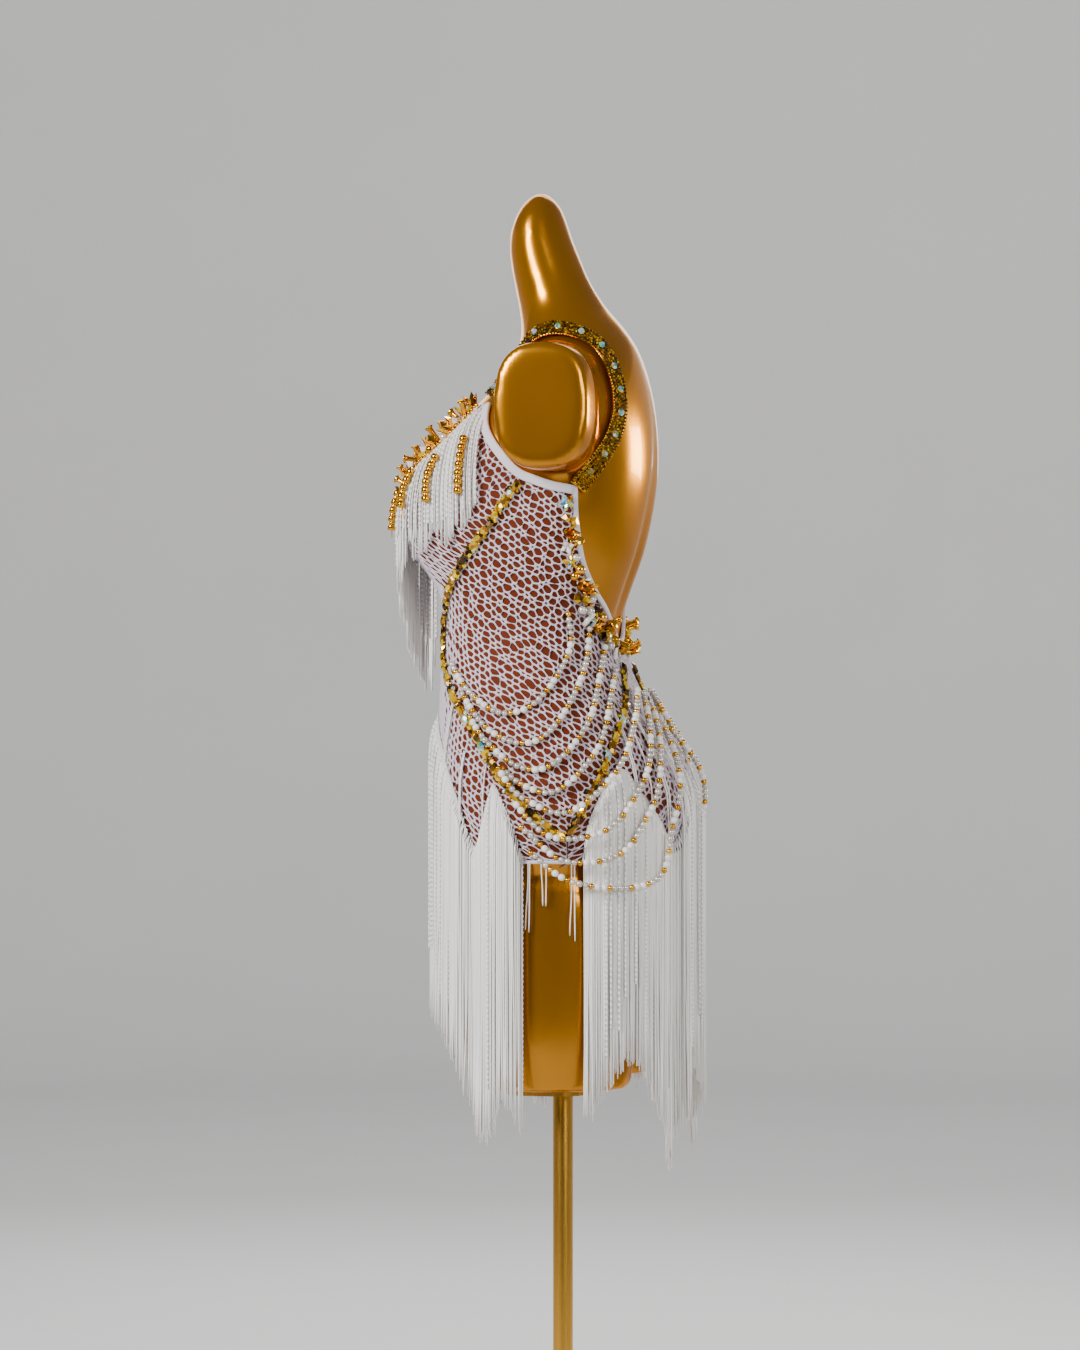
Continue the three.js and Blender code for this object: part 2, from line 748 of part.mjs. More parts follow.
function frontPanel() {
  const columns = FRONT_TOP.length - 1;
  const seamSide = (z) => ({ angle: frontSeam(z) - SEAM_GAP_ANGLE, z });
  const top = FRONT_TOP.map((p, i) => (i === columns ? seamSide(p.z) : p));
  const left = (t) => ({ angle: -90, z: THREE.MathUtils.lerp(CHEST_Z, top[0].z, t) });
  const right = (t) => seamSide(THREE.MathUtils.lerp(CHEST_Z, top[columns].z, t));
  const bottom = (s) => mix({ angle: -90, z: CHEST_Z }, seamSide(CHEST_Z), s);
  const half = [];
  for (const z of SEAM_ROWS) {
    half.push(top.map((_, c) => mix({ angle: -90, z }, seamSide(z), c / columns)));
  }
  for (let r = 1; r <= UPPER_ROWS; r += 1) {
    const t = r / UPPER_ROWS;
    half.push(top.map((_, c) => patch(bottom, (s) => alongRows(top, s), left, right, c / columns, t)));
  }
  return wall(half.map((row) => bothSides([...row].reverse())), CLOTH);
}

function sidePanel() {
  const frontSide = (z) => ({ angle: frontSeam(z) + SEAM_GAP_ANGLE, z });
  const backSide = (z) => ({ angle: sideBackEdge(z), z });
  const last = SIDE_TOP.length - 1;
  const top = SIDE_TOP.map((p, i) => (i === 0 ? frontSide(p.z) : p));
  const bottom = (s) => mix(frontSide(CHEST_Z), backSide(CHEST_Z), s);
  const left = (t) => frontSide(THREE.MathUtils.lerp(CHEST_Z, top[0].z, t));
  const right = (t) => backSide(THREE.MathUtils.lerp(CHEST_Z, top[last].z, t));
  const shares = Array.from({ length: SIDE_COLUMNS + 1 }, (_, c) => c / SIDE_COLUMNS);
  const grid = [];
  for (const z of SEAM_ROWS.filter((row) => row >= SIDE_TIP_Z)) {
    grid.push(shares.map((s) => mix(frontSide(z), backSide(z), s)));
  }
  for (let r = 1; r <= UPPER_ROWS; r += 1) {
    const t = r / UPPER_ROWS;
    grid.push(shares.map((s) => patch(bottom, (u) => alongRows(top, u), left, right, s, t)));
  }
  return wall(grid, CLOTH);
}

function backPanel() {
  const shares = Array.from({ length: BACK_COLUMNS + 1 }, (_, c) => c / BACK_COLUMNS);
  const rows = SEAM_ROWS.filter((z) => z <= BACK_TOP_Z);
  const grid = rows.map((z) => {
    const seam = { angle: backSeam(z) + SEAM_GAP_ANGLE, z };
    return bothSides(shares.map((s) => mix(seam, { angle: 90, z }, s)));
  });
  return wall(grid, CLOTH);
}

// The strip between the legs, which joins the lower edges of the front and the back.
function gusset() {
  const side = (angle, offset) => GUSSET.frontZ.map((z, i) => skin(angle, i ? z : z - GUSSET.endGap, offset));
  const under = (offset) => GUSSET.underY.map((y) => new THREE.Vector3(0, y, TRUNK[0].z - offset));
  const line = (offset) => [...side(-90, offset), ...under(offset), ...side(90, offset).reverse()];
  const inside = line(CLOTH.inner);
  const outside = line(CLOTH.outer);
  const at = (p, x) => new THREE.Vector3(x, p.y, p.z);
  const { halfWidth } = GUSSET;
  return loft(inside.map((p, i) => [
    at(p, -halfWidth),
    at(p, halfWidth),
    at(outside[i], halfWidth),
    at(outside[i], -halfWidth),
  ]));
}

// ---------------------------------------------------------------- bindings, straps and beaded trims

const NECKLINE = FRONT_TOP.slice(0, NECKLINE_POINTS);
const ARMHOLE = [...FRONT_TOP.slice(NECKLINE_POINTS), ...SIDE_TOP.slice(1)];

function armholeBinding() {
  return band(pathThrough(ARMHOLE, PATH_STEP.binding), () => ({ ...TRIM, ...BINDING }));
}

function backBinding() {
  const edge = [...BACK_OPENING].reverse();
  const start = mix(edge[0], edge[1], BACK_BINDING.startShare);
  const middle = { angle: 90, z: BACK_TOP_Z - BACK_BINDING.middleDrop };
  const path = pathThrough(bothSides([start, ...edge.slice(1, -1), middle]), PATH_STEP.binding);
  return band(path, () => ({ ...TRIM, ...BACK_BINDING }));
}

function strap() {
  return band(pathThrough(STRAP_PATH, PATH_STEP.strap), () => STRAP);
}

// A line of set stones, as one raised band.
function stoneLine(rows) {
  return band(pathThrough(rows, PATH_STEP.stones), () => STONES);
}

// One bugle bead that stands up out of a beaded strip, leaning its own way.
function bugle(root, out, across, along, i, length) {
  const lean = new THREE.Vector3()
    .addScaledVector(out, BUGLE.out)
    .addScaledVector(across, BUGLE.across * (2 * scatter(i, 1) - 1))
    .addScaledVector(along, BUGLE.along * (2 * scatter(i, 2) - 1))
    .normalize();
  const side = new THREE.Vector3().crossVectors(lean, along).normalize();
  const other = new THREE.Vector3().crossVectors(lean, side);
  const ring = (distance, radius) => Array.from({ length: BUGLE.sides }, (_, k) => {
    const turn = (2 * Math.PI * k) / BUGLE.sides;
    return root.clone()
      .addScaledVector(lean, distance)
      .addScaledVector(side, radius * Math.cos(turn))
      .addScaledVector(other, radius * Math.sin(turn));
  });
  return loft([ring(0, BUGLE.rootRadius), ring(length, BUGLE.tipRadius)]);
}

function beading(path, sectionAt, { every, shortest, longest }) {
  const pieces = [band(path, sectionAt)];
  path.forEach((place, i) => {
    if (i % every !== every - 1) {
      return;
    }
    const { out, across } = frameAt(path, i);
    const along = new THREE.Vector3().crossVectors(across, out);
    const { inner, outer, shift = 0 } = sectionAt(place, i);
    const root = trunkPoint(place.angle, place.z)
      .addScaledVector(across, shift)
      .addScaledVector(out, (inner + outer) / 2 + BUGLE.rise);
    const length = THREE.MathUtils.lerp(shortest, longest, scatter(i, 3));
    pieces.push(bugle(root, out, across, along, i, length));
  });
  return union(pieces);
}

function backBeading() {
  const sectionAt = (place) => ({ ...BEADING, width: place.width });
  return beading(pathThrough(BACK_BEADING_PATH, PATH_STEP.beading), sectionAt, BACK_BUGLES);
}

function neckBeading() {
  const sectionAt = () => ({ ...BEADING, ...NECK_BEADING });
  const rows = [mix(NECKLINE[0], NECKLINE[1], NECK_BEADING.centreGapShare), ...NECKLINE.slice(1)];
  return beading(pathThrough(rows, PATH_STEP.beading), sectionAt, NECK_BUGLES);
}

function tubeOnBody(route, offset, section) {
  const knots = route.map(([angle, z]) => ({ angle, z }));
  const places = pathThrough(knots, PATH_STEP.tube);
  return tube(places.map(({ angle, z }) => hanging(angle, z, offset)), section);
}

// ---------------------------------------------------------------- fringes

// The way of a strand from its root: straight down the slope of the body as far as the body swells,
// then free to the hem. Each place keeps the spot on the body that it touched last.
function fallLine(root, hemRows) {
  const line = [];
  let { angle, z } = root;
  const hem = () => linear(hemRows, 'angle', angle, 'z');
  while (z > hem() && outward(angle, z).z > STRAND.leaves) {
    const round = trunkPoint(angle + 0.5, z).sub(trunkPoint(angle - 0.5, z));
    const down = trunkPoint(angle, z - 1).sub(trunkPoint(angle, z + 1));
    angle -= (round.dot(down) / round.lengthSq()) * (STRAND.step / 2);
    z -= STRAND.step;
    line.push({ angle, z });
  }
  const touch = { angle, z };
  const kept = Math.max(1, Math.ceil((line.length * STRAND.step) / STRAND.foldStep));
  const bends = [];
  for (let i = 0; i <= kept; i += 1) {
    bends.push(line[Math.round((i / kept) * (line.length - 1))] ?? touch);
  }
  const free = z - hem() > STRAND.rootLength;
  return { bends: line.length > 2 ? bends : [touch], touch, endZ: free ? hem() : null };
}

// A tape with strands that grow out of its lower edge. Each strand has a place for its left and its
// right edge on the tape, and four sides.
function fringe(strands, hemRows, { shift = 0, offset }) {
  const places = strands.flatMap(({ left, right }) => [left, right]);
  const lower = -Math.sign(places[places.length - 1].angle - places[0].angle);
  const { inner, outer, width } = FRINGE_TAPE;
  const points = places.flatMap((place, i) => {
    const { out, across } = frameAt(places, i);
    const corner = (side, height) => trunkPoint(place.angle, place.z)
      .addScaledVector(across, shift + (side * width) / 2)
      .addScaledVector(out, height);
    return [corner(-lower, inner), corner(lower, inner), corner(lower, outer), corner(-lower, outer)];
  });
  const triangles = [];
  const quad = (a, b, c, d) => triangles.push([a, b, c], [a, c, d]);
  const growRing = (ring, { angle, z }, levelZ) => {
    const out = outward(angle, z);
    const round = new THREE.Vector3(-out.y, out.x, 0).normalize().multiplyScalar(-lower);
    const first = points.length;
    for (const [side, depth] of [[-1, -1], [-1, 1], [1, 1], [1, -1]]) {
      const point = trunkPoint(angle, z)
        .addScaledVector(round, (side * STRAND.width) / 2)
        .addScaledVector(out, offset + (depth * STRAND.thickness) / 2);
      points.push(levelZ === null ? point : point.setZ(levelZ));
    }
    const level = [first, first + 1, first + 2, first + 3];
    for (let k = 0; k < 4; k += 1) {
      const m = (k + 1) % 4;
      quad(ring[k], ring[m], level[m], level[k]);
    }
    return level;
  };
  for (let i = 0; i < places.length - 1; i += 1) {
    const here = 4 * i;
    const next = here + 4;
    quad(here, here + 1, next + 1, next);
    quad(here + 2, here + 3, next + 3, next + 2);
    quad(here + 3, here, next, next + 3);
    if (i % 2) {
      quad(here + 1, here + 2, next + 2, next + 1);
      continue;
    }
    let ring = [here + 1, here + 2, next + 2, next + 1];
    const { left, right } = strands[i / 2];
    const root = mix(left, right, 0.5);
    const start = { angle: root.angle, z: (points[here + 1].z + points[next + 1].z) / 2 - STRAND.rootLength };
    const { bends, touch, endZ } = fallLine(start, hemRows);
    for (const bend of bends) {
      ring = growRing(ring, bend, null);
    }
    if (endZ !== null) {
      ring = growRing(ring, touch, endZ);
    }
    quad(...ring);
  }
  const last = 4 * (places.length - 1);
  quad(3, 2, 1, 0);
  quad(last, last + 1, last + 2, last + 3);
  return solid(points, triangles);
}

function mirrorPlace({ angle, z }) {
  return { angle: otherSide(angle), z };
}

function hipFringe(rootRows, hemRows) {
  const path = pathThrough(rootRows, PATH_STEP.hipRoot);
  const first = path[0].angle;
  const pitch = (path[path.length - 1].angle - first) / HIP_FRINGE.strandsPerSide;
  const place = (angle) => ({ angle, z: linear(path, 'angle', angle, 'z') });
  const strands = [];
  for (let i = 0; i < HIP_FRINGE.strandsPerSide; i += 1) {
    const middle = first + (i + 0.5) * pitch;
    const half = (STRAND.fill * pitch) / 2;
    strands.push({ left: place(middle - half), right: place(middle + half) });
  }
  const mirrored = [...strands].reverse().map(({ left, right }) => ({
    left: mirrorPlace(right),
    right: mirrorPlace(left),
  }));
  return fringe([...strands, ...mirrored], bothSides(hemRows), HIP_FRINGE);
}

function neckFringe() {
  const path = pathThrough(NECKLINE, PATH_STEP.neckRoot);
  const end = path.length - Math.round(NECK_FRINGE.topGap / PATH_STEP.neckRoot);
  const at = (share) => path[Math.round(share * (end - 1))];
  const strands = [];
  for (let i = 0; i < NECK_FRINGE.strands; i += 1) {
    const middle = (i + 0.5) / NECK_FRINGE.strands;
    const half = STRAND.fill / NECK_FRINGE.strands / 2;
    strands.push({ left: at(middle - half), right: at(middle + half) });
  }
  return fringe(strands, NECK_HEM, NECK_FRINGE);
}

// ---------------------------------------------------------------- the model

const model = new THREE.Group();
model.name = 'latin_dance_dress_on_form';

function add(name, geometry, look) {
  const mesh = new THREE.Mesh(geometry, new THREE.MeshStandardMaterial(COLOURS[look]));
  mesh.name = name;
  model.add(mesh);
}

function addPair(name, geometry, look) {
  add(`${name}_left`, geometry, look);
  add(`${name}_right`, mirrorGeometry(geometry), look);
}

add('form_body', formBody(), 'form');
add('stand_plate', roundedPlate(PLATE), 'brass');
add('stand_pole', standPole(), 'brass');
add('stand_base', standBase(), 'brass');

add('front_panel', frontPanel(), 'net');
add('back_panel', backPanel(), 'net');
addPair('side_panel', sidePanel(), 'net');
add('gusset', gusset(), 'elastic');
addPair('armhole_binding', armholeBinding(), 'elastic');
add('back_binding', backBinding(), 'elastic');
addPair('strap', strap(), 'gold');

addPair('front_stone_line', stoneLine(STONE_FRONT), 'crystal');
addPair('back_stone_line', stoneLine(STONE_BACK), 'crystal');
addPair('neck_beading', neckBeading(), 'gold');
addPair('back_beading', backBeading(), 'gold');

addPair('neck_fringe', neckFringe(), 'fringe');
add('hip_fringe_front', hipFringe(HIP_ROOT_FRONT, HEM_FRONT), 'fringe');
add('hip_fringe_back', hipFringe(HIP_ROOT_BACK, HEM_BACK), 'fringe');

SWAGS.forEach(({ route, offset }, i) => {
  addPair(`pearl_swag_${i + 1}`, tubeOnBody(route, offset, SWAG_TUBE), 'pearl');
});
STRINGS.forEach(({ route }, i) => {
  addPair(`gold_string_${i + 1}`, tubeOnBody(route, STRING_TUBE.offset, STRING_TUBE), 'gold');
});

export default model;
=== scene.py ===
# %% [markdown]
# # A latin dance dress on its dress form
#
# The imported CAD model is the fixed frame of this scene. It holds every cut piece, trim and fringe at its
# real size, as plain faceted solids. This file dresses it: each solid is replaced by a piece with the
# real fineness, in the same place. Everything is worked out in millimetres on the surface of the form
# and goes into the meshes in metres.

# %% Load the frame
import bpy
import numpy as np
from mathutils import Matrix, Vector


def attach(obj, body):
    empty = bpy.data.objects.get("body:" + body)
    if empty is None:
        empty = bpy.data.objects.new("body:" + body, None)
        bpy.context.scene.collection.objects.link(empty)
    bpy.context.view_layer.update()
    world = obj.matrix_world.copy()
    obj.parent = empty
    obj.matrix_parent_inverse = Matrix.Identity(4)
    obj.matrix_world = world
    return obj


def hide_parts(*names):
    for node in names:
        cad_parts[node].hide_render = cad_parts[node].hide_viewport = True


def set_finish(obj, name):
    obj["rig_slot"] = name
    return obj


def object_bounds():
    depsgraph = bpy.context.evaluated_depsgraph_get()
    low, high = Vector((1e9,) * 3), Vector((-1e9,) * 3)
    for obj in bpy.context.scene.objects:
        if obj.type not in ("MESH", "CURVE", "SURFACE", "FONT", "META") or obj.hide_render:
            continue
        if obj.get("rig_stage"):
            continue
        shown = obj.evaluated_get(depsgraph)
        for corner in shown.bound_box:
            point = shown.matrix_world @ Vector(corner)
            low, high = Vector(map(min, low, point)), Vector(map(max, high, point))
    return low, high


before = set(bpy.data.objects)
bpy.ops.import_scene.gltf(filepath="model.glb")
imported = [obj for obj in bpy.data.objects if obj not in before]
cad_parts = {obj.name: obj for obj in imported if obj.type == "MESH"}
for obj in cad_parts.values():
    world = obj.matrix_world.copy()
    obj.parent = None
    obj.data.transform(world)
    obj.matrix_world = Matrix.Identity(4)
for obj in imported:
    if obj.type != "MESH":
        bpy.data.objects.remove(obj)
cad_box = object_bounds()
MM = 0.001
BODY = "root"
print("nodes in the frame:", len(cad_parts))

# %% [markdown]
# ## The surface that everything lies on
#
# A place on the body is an angle round it and a height. The angle is 0 at the wearer's left, -90 at the
# front and 90 at the back. The tables are sections of the form, and smooth cubics run between their rows.
# One surface function serves the form, the cloth, the trims and the fringes, so nothing has to be fitted
# by eye: a trim is simply the same surface a few millimetres further out.

# %% Tables of the body
def table(columns, *rows):
    """A short table as a dictionary of columns."""
    values = np.array(rows, float)
    return {name: values[:, i] for i, name in enumerate(columns.split())}

TRUNK = table(
    "z front back half power",
    (762, -30, 40, 80, 2.0), (775, -72, 78, 136, 2.2), (800, -98, 98, 157, 2.3),
    (835, -113, 108, 165, 2.3), (870, -118, 107, 163, 2.3), (905, -119, 98, 154, 2.3),
    (940, -118, 84, 140, 2.3), (975, -117, 67, 123, 2.3), (1005, -116, 57, 111, 2.3),
    (1030, -116, 56, 108, 2.3), (1060, -117, 65, 113, 2.3), (1100, -118, 79, 122, 2.3),
    (1140, -117, 88, 128, 2.3), (1178, -112, 93, 130, 2.3), (1215, -97, 93, 129, 2.3),
    (1250, -71, 89, 124, 2.3), (1280, -50, 82, 113, 2.3), (1305, -41, 73, 94, 2.2),
    (1325, -40, 60, 75, 2.1), (1345, -43, 43, 61, 2.0), (1370, -48, 27, 55, 2.0),
    (1395, -52, 16, 52, 2.1), (1415, -52, 8, 50, 2.1), (1433, -47, 2, 46, 2.1),
    (1447, -39, -4, 38, 2.1), (1456, -30, -12, 24, 2.1), (1460, -23, -18, 8, 2.0))
BUST = dict(x=76, z=1126, height=46, across=103, up=184, down=90)
SEAT = dict(x=70, z=838, height=25, across=105, up=141, down=98)
SPINE = dict(depth=7, half_width=15, z=1090, half_height=95)
EDGE_POWER = 0.8

# %% Surface functions
def cubic(columns, name, z):
    """A column at heights z: cubics between rows, with slopes taken from the rows on both sides."""
    zs, v = columns["z"], columns[name]
    last = len(zs) - 1
    slopes = np.empty_like(v)
    slopes[1:-1] = (v[2:] - v[:-2]) / (zs[2:] - zs[:-2])
    slopes[0] = (v[1] - v[0]) / (zs[1] - zs[0])
    slopes[-1] = (v[-1] - v[-2]) / (zs[-1] - zs[-2])
    i = np.clip(np.searchsorted(zs, z) - 1, 0, last - 1)
    span = zs[i + 1] - zs[i]
    t = np.clip((z - zs[i]) / span, 0, 1)
    return ((2 * t**3 - 3 * t**2 + 1) * v[i] + (t**3 - 2 * t**2 + t) * span * slopes[i]
            + (3 * t**2 - 2 * t**3) * v[i + 1] + (t**3 - t**2) * span * slopes[i + 1])

def mound(shape, x, z):
    """A smooth swelling: height times (1 - r squared) cubed, r being 1 at its edge."""
    reach = np.where(z > shape["z"], shape["up"], shape["down"])
    r2 = ((np.abs(x) - shape["x"]) / shape["across"]) ** 2 + ((z - shape["z"]) / reach) ** 2
    return shape["height"] * np.clip(1 - r2, 0, 1) ** 3

def signed_power(value, power):
    return np.sign(value) * np.abs(value) ** power

def trunk(angle, z):
    """Points of the body in millimetres: a squarish ellipse at each height, with cups, seat and spine."""
    angle, z = np.broadcast_arrays(np.asarray(angle, float), np.asarray(z, float))
    c, s = np.cos(np.radians(angle)), np.sin(np.radians(angle))
    power = 2 / cubic(TRUNK, "power", z)
    front, back = cubic(TRUNK, "front", z), cubic(TRUNK, "back", z)
    x = cubic(TRUNK, "half", z) * signed_power(c, power)
    y = (front + back) / 2 + (back - front) / 2 * signed_power(s, power)
    to_front, to_back = np.clip(-s, 0, 1) ** EDGE_POWER, np.clip(s, 0, 1) ** EDGE_POWER
    y = y - mound(BUST, x, z) * to_front + mound(SEAT, x, z) * to_back
    hollow = np.exp(-((x / SPINE["half_width"]) ** 2) - ((z - SPINE["z"]) / SPINE["half_height"]) ** 2)
    return np.stack([x, y - SPINE["depth"] * hollow * to_back, z], -1)

def unit(vectors):
    return vectors / np.maximum(np.linalg.norm(vectors, axis=-1, keepdims=True), 1e-9)

def outward(angle, z):
    """The surface's outward direction, from its slopes round and up the body."""
    round_it = trunk(angle + 0.5, z) - trunk(angle - 0.5, z)
    up_it = trunk(angle, z + 2) - trunk(angle, z - 2)
    return unit(np.cross(round_it, up_it))

def skin(angle, z, offset):
    """Points at a distance out from the body."""
    angle, z = np.broadcast_arrays(np.asarray(angle, float), np.asarray(z, float))
    return trunk(angle, z) + outward(angle, z) * np.asarray(offset)[..., None]

print("waist round the form: %.0f mm" % np.linalg.norm(
    np.diff(trunk(np.linspace(0, 360, 361), 1024.0), axis=0), axis=1).sum())

# %% [markdown]
# ## Paths and meshes
#
# A trim follows a path: a smooth curve through a few places of the body, resampled at even distances. A
# centripetal Catmull-Rom curve passes through every place without loops or overshoot. Meshes are filled
# from whole arrays, which is much faster than adding one vertex after another.

# %% Paths on the body
ANGLE_TO_MM = 2.3

def catmull_rom(knots, per_span=40):
    """A centripetal Catmull-Rom curve: the knots' parameters grow with the root of their distance."""
    knots = np.asarray(knots, float)
    first, last = 2 * knots[0] - knots[1], 2 * knots[-1] - knots[-2]
    p = np.vstack([first, knots, last])
    t = np.concatenate([[0], np.cumsum(np.linalg.norm(np.diff(p, axis=0), axis=1) ** 0.5)])
    u = np.linspace(0, 1, per_span, endpoint=False)[:, None]
    pieces = []
    for i in range(1, len(p) - 2):
        x = t[i] + (t[i + 1] - t[i]) * u
        def blend(a, b, ta, tb):
            return (tb - x) / (tb - ta) * a + (x - ta) / (tb - ta) * b
        a1 = blend(p[i - 1], p[i], t[i - 1], t[i])
        a2 = blend(p[i], p[i + 1], t[i], t[i + 1])
        a3 = blend(p[i + 1], p[i + 2], t[i + 1], t[i + 2])
        b1, b2 = blend(a1, a2, t[i - 1], t[i + 1]), blend(a2, a3, t[i], t[i + 2])
        pieces.append(blend(b1, b2, t[i], t[i + 1]))
    return np.vstack(pieces + [p[-2:-1]])

def spaced(points, step, measure=None):
    """The points of a curve at even distances along it, and their distance from its start."""
    run = points if measure is None else measure
    length = np.concatenate([[0], np.cumsum(np.linalg.norm(np.diff(run, axis=0), axis=1))])
    at = np.linspace(0, length[-1], max(2, int(round(length[-1] / step)) + 1))
    return np.stack([np.interp(at, length, column) for column in points.T], -1), at

def body_path(rows, step):
    """Places along a smooth path through rows of (angle, z), evenly spaced over the body."""
    curve = catmull_rom(np.asarray(rows, float) * [ANGLE_TO_MM, 1]) / [ANGLE_TO_MM, 1]
    return spaced(curve, step, trunk(curve[:, 0], curve[:, 1]))

def mirror_rows(rows):
    """The same places on the wearer's right."""
    rows = np.array(rows, float)
    rows[:, 0] = np.where(rows[:, 0] < 0, -180, 180) - rows[:, 0]
    return rows

def both_sides(rows):
    """A path from the left side to the centre line, carried on to the right side."""
    return np.vstack([rows, mirror_rows(rows)[-2::-1]])

def path_frames(places):
    """Along, across and out directions at each place of a path on the body."""
    points = trunk(places[:, 0], places[:, 1])
    along = unit(np.gradient(points, axis=0))
    out = outward(places[:, 0], places[:, 1])
    across = unit(np.cross(out, along))
    return points, unit(np.cross(across, out)), across, out

# %% Meshes from arrays
def grid_faces(rows, columns, wrap=False, first=0):
    """Four-sided faces of a grid of vertices, numbered row by row. Wrap joins its last and first column."""
    r = np.arange(rows - 1)[:, None]
    c = np.arange(columns if wrap else columns - 1)[None, :]
    d = (c + 1) % columns
    quads = np.stack([r * columns + c, r * columns + d, (r + 1) * columns + d, (r + 1) * columns + c], -1)
    return quads.reshape(-1, 4) + first

def add_piece(name, points, faces, materials, slot, picks=None, uv=None, attributes=None):
    """A piece from points in millimetres and faces: one array, or a list of arrays with 3 or 4 corners."""
    groups = [np.asarray(f) for f in (faces if isinstance(faces, list) else [faces])]
    mesh = bpy.data.meshes.new(name)
    points = np.asarray(points, float).reshape(-1, 3)
    corners = np.concatenate([g.ravel() for g in groups]).astype(np.int32)
    sizes = np.concatenate([np.full(len(g), g.shape[1]) for g in groups])
    mesh.vertices.add(len(points))
    mesh.vertices.foreach_set("co", (points * MM).astype(np.float32).ravel())
    mesh.loops.add(len(corners))
    mesh.loops.foreach_set("vertex_index", corners)
    mesh.polygons.add(len(sizes))
    mesh.polygons.foreach_set("loop_start", np.concatenate([[0], np.cumsum(sizes)[:-1]]).astype(np.int32))
    mesh.polygons.foreach_set("loop_total", sizes.astype(np.int32))
    mesh.polygons.foreach_set("use_smooth", np.ones(len(sizes), bool))
    for material in materials:
        mesh.materials.append(material)
    if picks is not None:
        mesh.polygons.foreach_set("material_index", np.asarray(picks, np.int32))
    if uv is not None:
        layer = mesh.uv_layers.new(name="cloth")
        layer.data.foreach_set("uv", np.asarray(uv, np.float32)[corners].ravel())
    for key, values in (attributes or {}).items():
        domain = "FACE" if len(values) == len(sizes) else "POINT"
        attribute = mesh.attributes.new(key, "FLOAT", domain)
        attribute.data.foreach_set("value", np.asarray(values, np.float32))
    mesh.update(calc_edges=True)
    mesh.validate()
    piece = bpy.data.objects.new(name, mesh)
    bpy.context.collection.objects.link(piece)
    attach(piece, BODY)
    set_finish(piece, slot)
    print("%-24s %7d triangles" % (name, (sizes - 2).sum()))
    return piece

# %% [markdown]
# ## Shader maths as Python
#
# Procedural materials are sums, products and mixes of sockets. A small class wraps a socket, so that an
# expression such as `0.2 + wear * 0.05` adds its Math nodes by itself. Colours go through Mix nodes,
# because a Math node would turn them grey.

# %% The shader helper
class Shade:
    """A value in a material's node tree, which can be multiplied and added to a number."""
    def __init__(self, tree, socket):
        self.tree, self.socket = tree, socket

    def maths(self, operation, a, b):
        return self.tree.node("ShaderNodeMath", {"operation": operation}, [a, b])

    def __radd__(self, other):
        return self.maths("ADD", other, self)

    def __mul__(self, other):
        return self.maths("MULTIPLY", self, other)

class Finish:
    """A material whose principled shader takes constants directly and patterns by links."""
    def __init__(self, name, **constants):
        self.material = bpy.data.materials.new(name)
        self.material.use_nodes = True
        self.nodes, self.links = self.material.node_tree.nodes, self.material.node_tree.links
        self.shader = next(n for n in self.nodes if n.type == "BSDF_PRINCIPLED")
        for key, value in constants.items():
            self.shader.inputs[key.replace("_", " ")].default_value = value

    def node(self, kind, settings=None, inputs=(), output=0):
        """Any node: its settings first, then its sockets by number or name."""
        made = self.nodes.new(kind)
        for key, value in (settings or {}).items():
            if key == "ramp":
                self.fill_ramp(made.color_ramp, value)
            else:
                setattr(made, key, value)
        pairs = inputs.items() if isinstance(inputs, dict) else enumerate(inputs)
        for key, value in pairs:
            if isinstance(value, Shade):
                self.links.new(value.socket, made.inputs[key])
            elif value is not None:
                made.inputs[key].default_value = value
        return Shade(self, made.outputs[output])

    @staticmethod
    def fill_ramp(ramp, stops):
        while len(ramp.elements) < len(stops):
            ramp.elements.new(0.5)
        for element, (place, colour) in zip(ramp.elements, stops):
            element.position, element.color = place, (*colour, 1)

    def place(self, kind="Object"):
        return self.node("ShaderNodeTexCoord", output=kind)

    def uv(self, across, along):
        """The piece's own map, scaled across and along."""
        settings, name = {"vector_type": "POINT"}, "ShaderNodeMapping"
        return self.node(name, settings, {"Vector": self.place("UV"), "Scale": (across, along, 1)})

    def noise(self, scale, detail=2.0, vector=None):
        return self.node("ShaderNodeTexNoise", None,
                         {"Vector": vector or self.place(), "Scale": scale, "Detail": detail})

    def own(self, name):
        return self.node("ShaderNodeAttribute", {"attribute_name": name}, output="Fac")

    def ramp(self, value, *stops):
        return self.node("ShaderNodeValToRGB", {"ramp": stops}, [value])

    def blend(self, factor, a, b):
        """A mix of two colours. Sockets 0, 6 and 7 are the factor and the colours, and output 2 the mix."""
        a, b = (x if isinstance(x, Shade) else (*x, 1) for x in (a, b))
        return self.node("ShaderNodeMix", {"data_type": "RGBA"}, {0: factor, 6: a, 7: b}, output=2)

    def bump(self, height, strength, distance_mm):
        self.set("Normal", self.node("ShaderNodeBump", None, {
            "Height": height, "Strength": strength, "Distance": distance_mm * MM}))
        return self

    def set(self, name, value):
        self.links.new(value.socket, self.shader.inputs[name])
        return self

# %% [markdown]
# ## Finishes
#
# The form has a deep metallic gold finish under a thin clear coat, with slight wear. The net's yarn is
# white with a lilac cast over a brick-red lining. Beads are gold plate, pearl and milky glass. The stones
# have a coating that is mostly gold, with painted flashes on single facets: white glints, and the
# coating's green or blue. The stones also glow faintly in their own colour, which is painted light.

# %% Materials
def make_form_gold():
    f = Finish("form_gold", Metallic=0.85, Specular_Tint=(1.0, 0.6, 0.15, 1), Coat_Weight=0.3,
               Coat_Roughness=0.05)
    wear = f.noise(9.0, 3.0)
    f.set("Base Color", f.blend(wear, (0.46, 0.18, 0.005), (0.54, 0.225, 0.009)))
    return f.set("Roughness", 0.20 + wear * 0.05).material

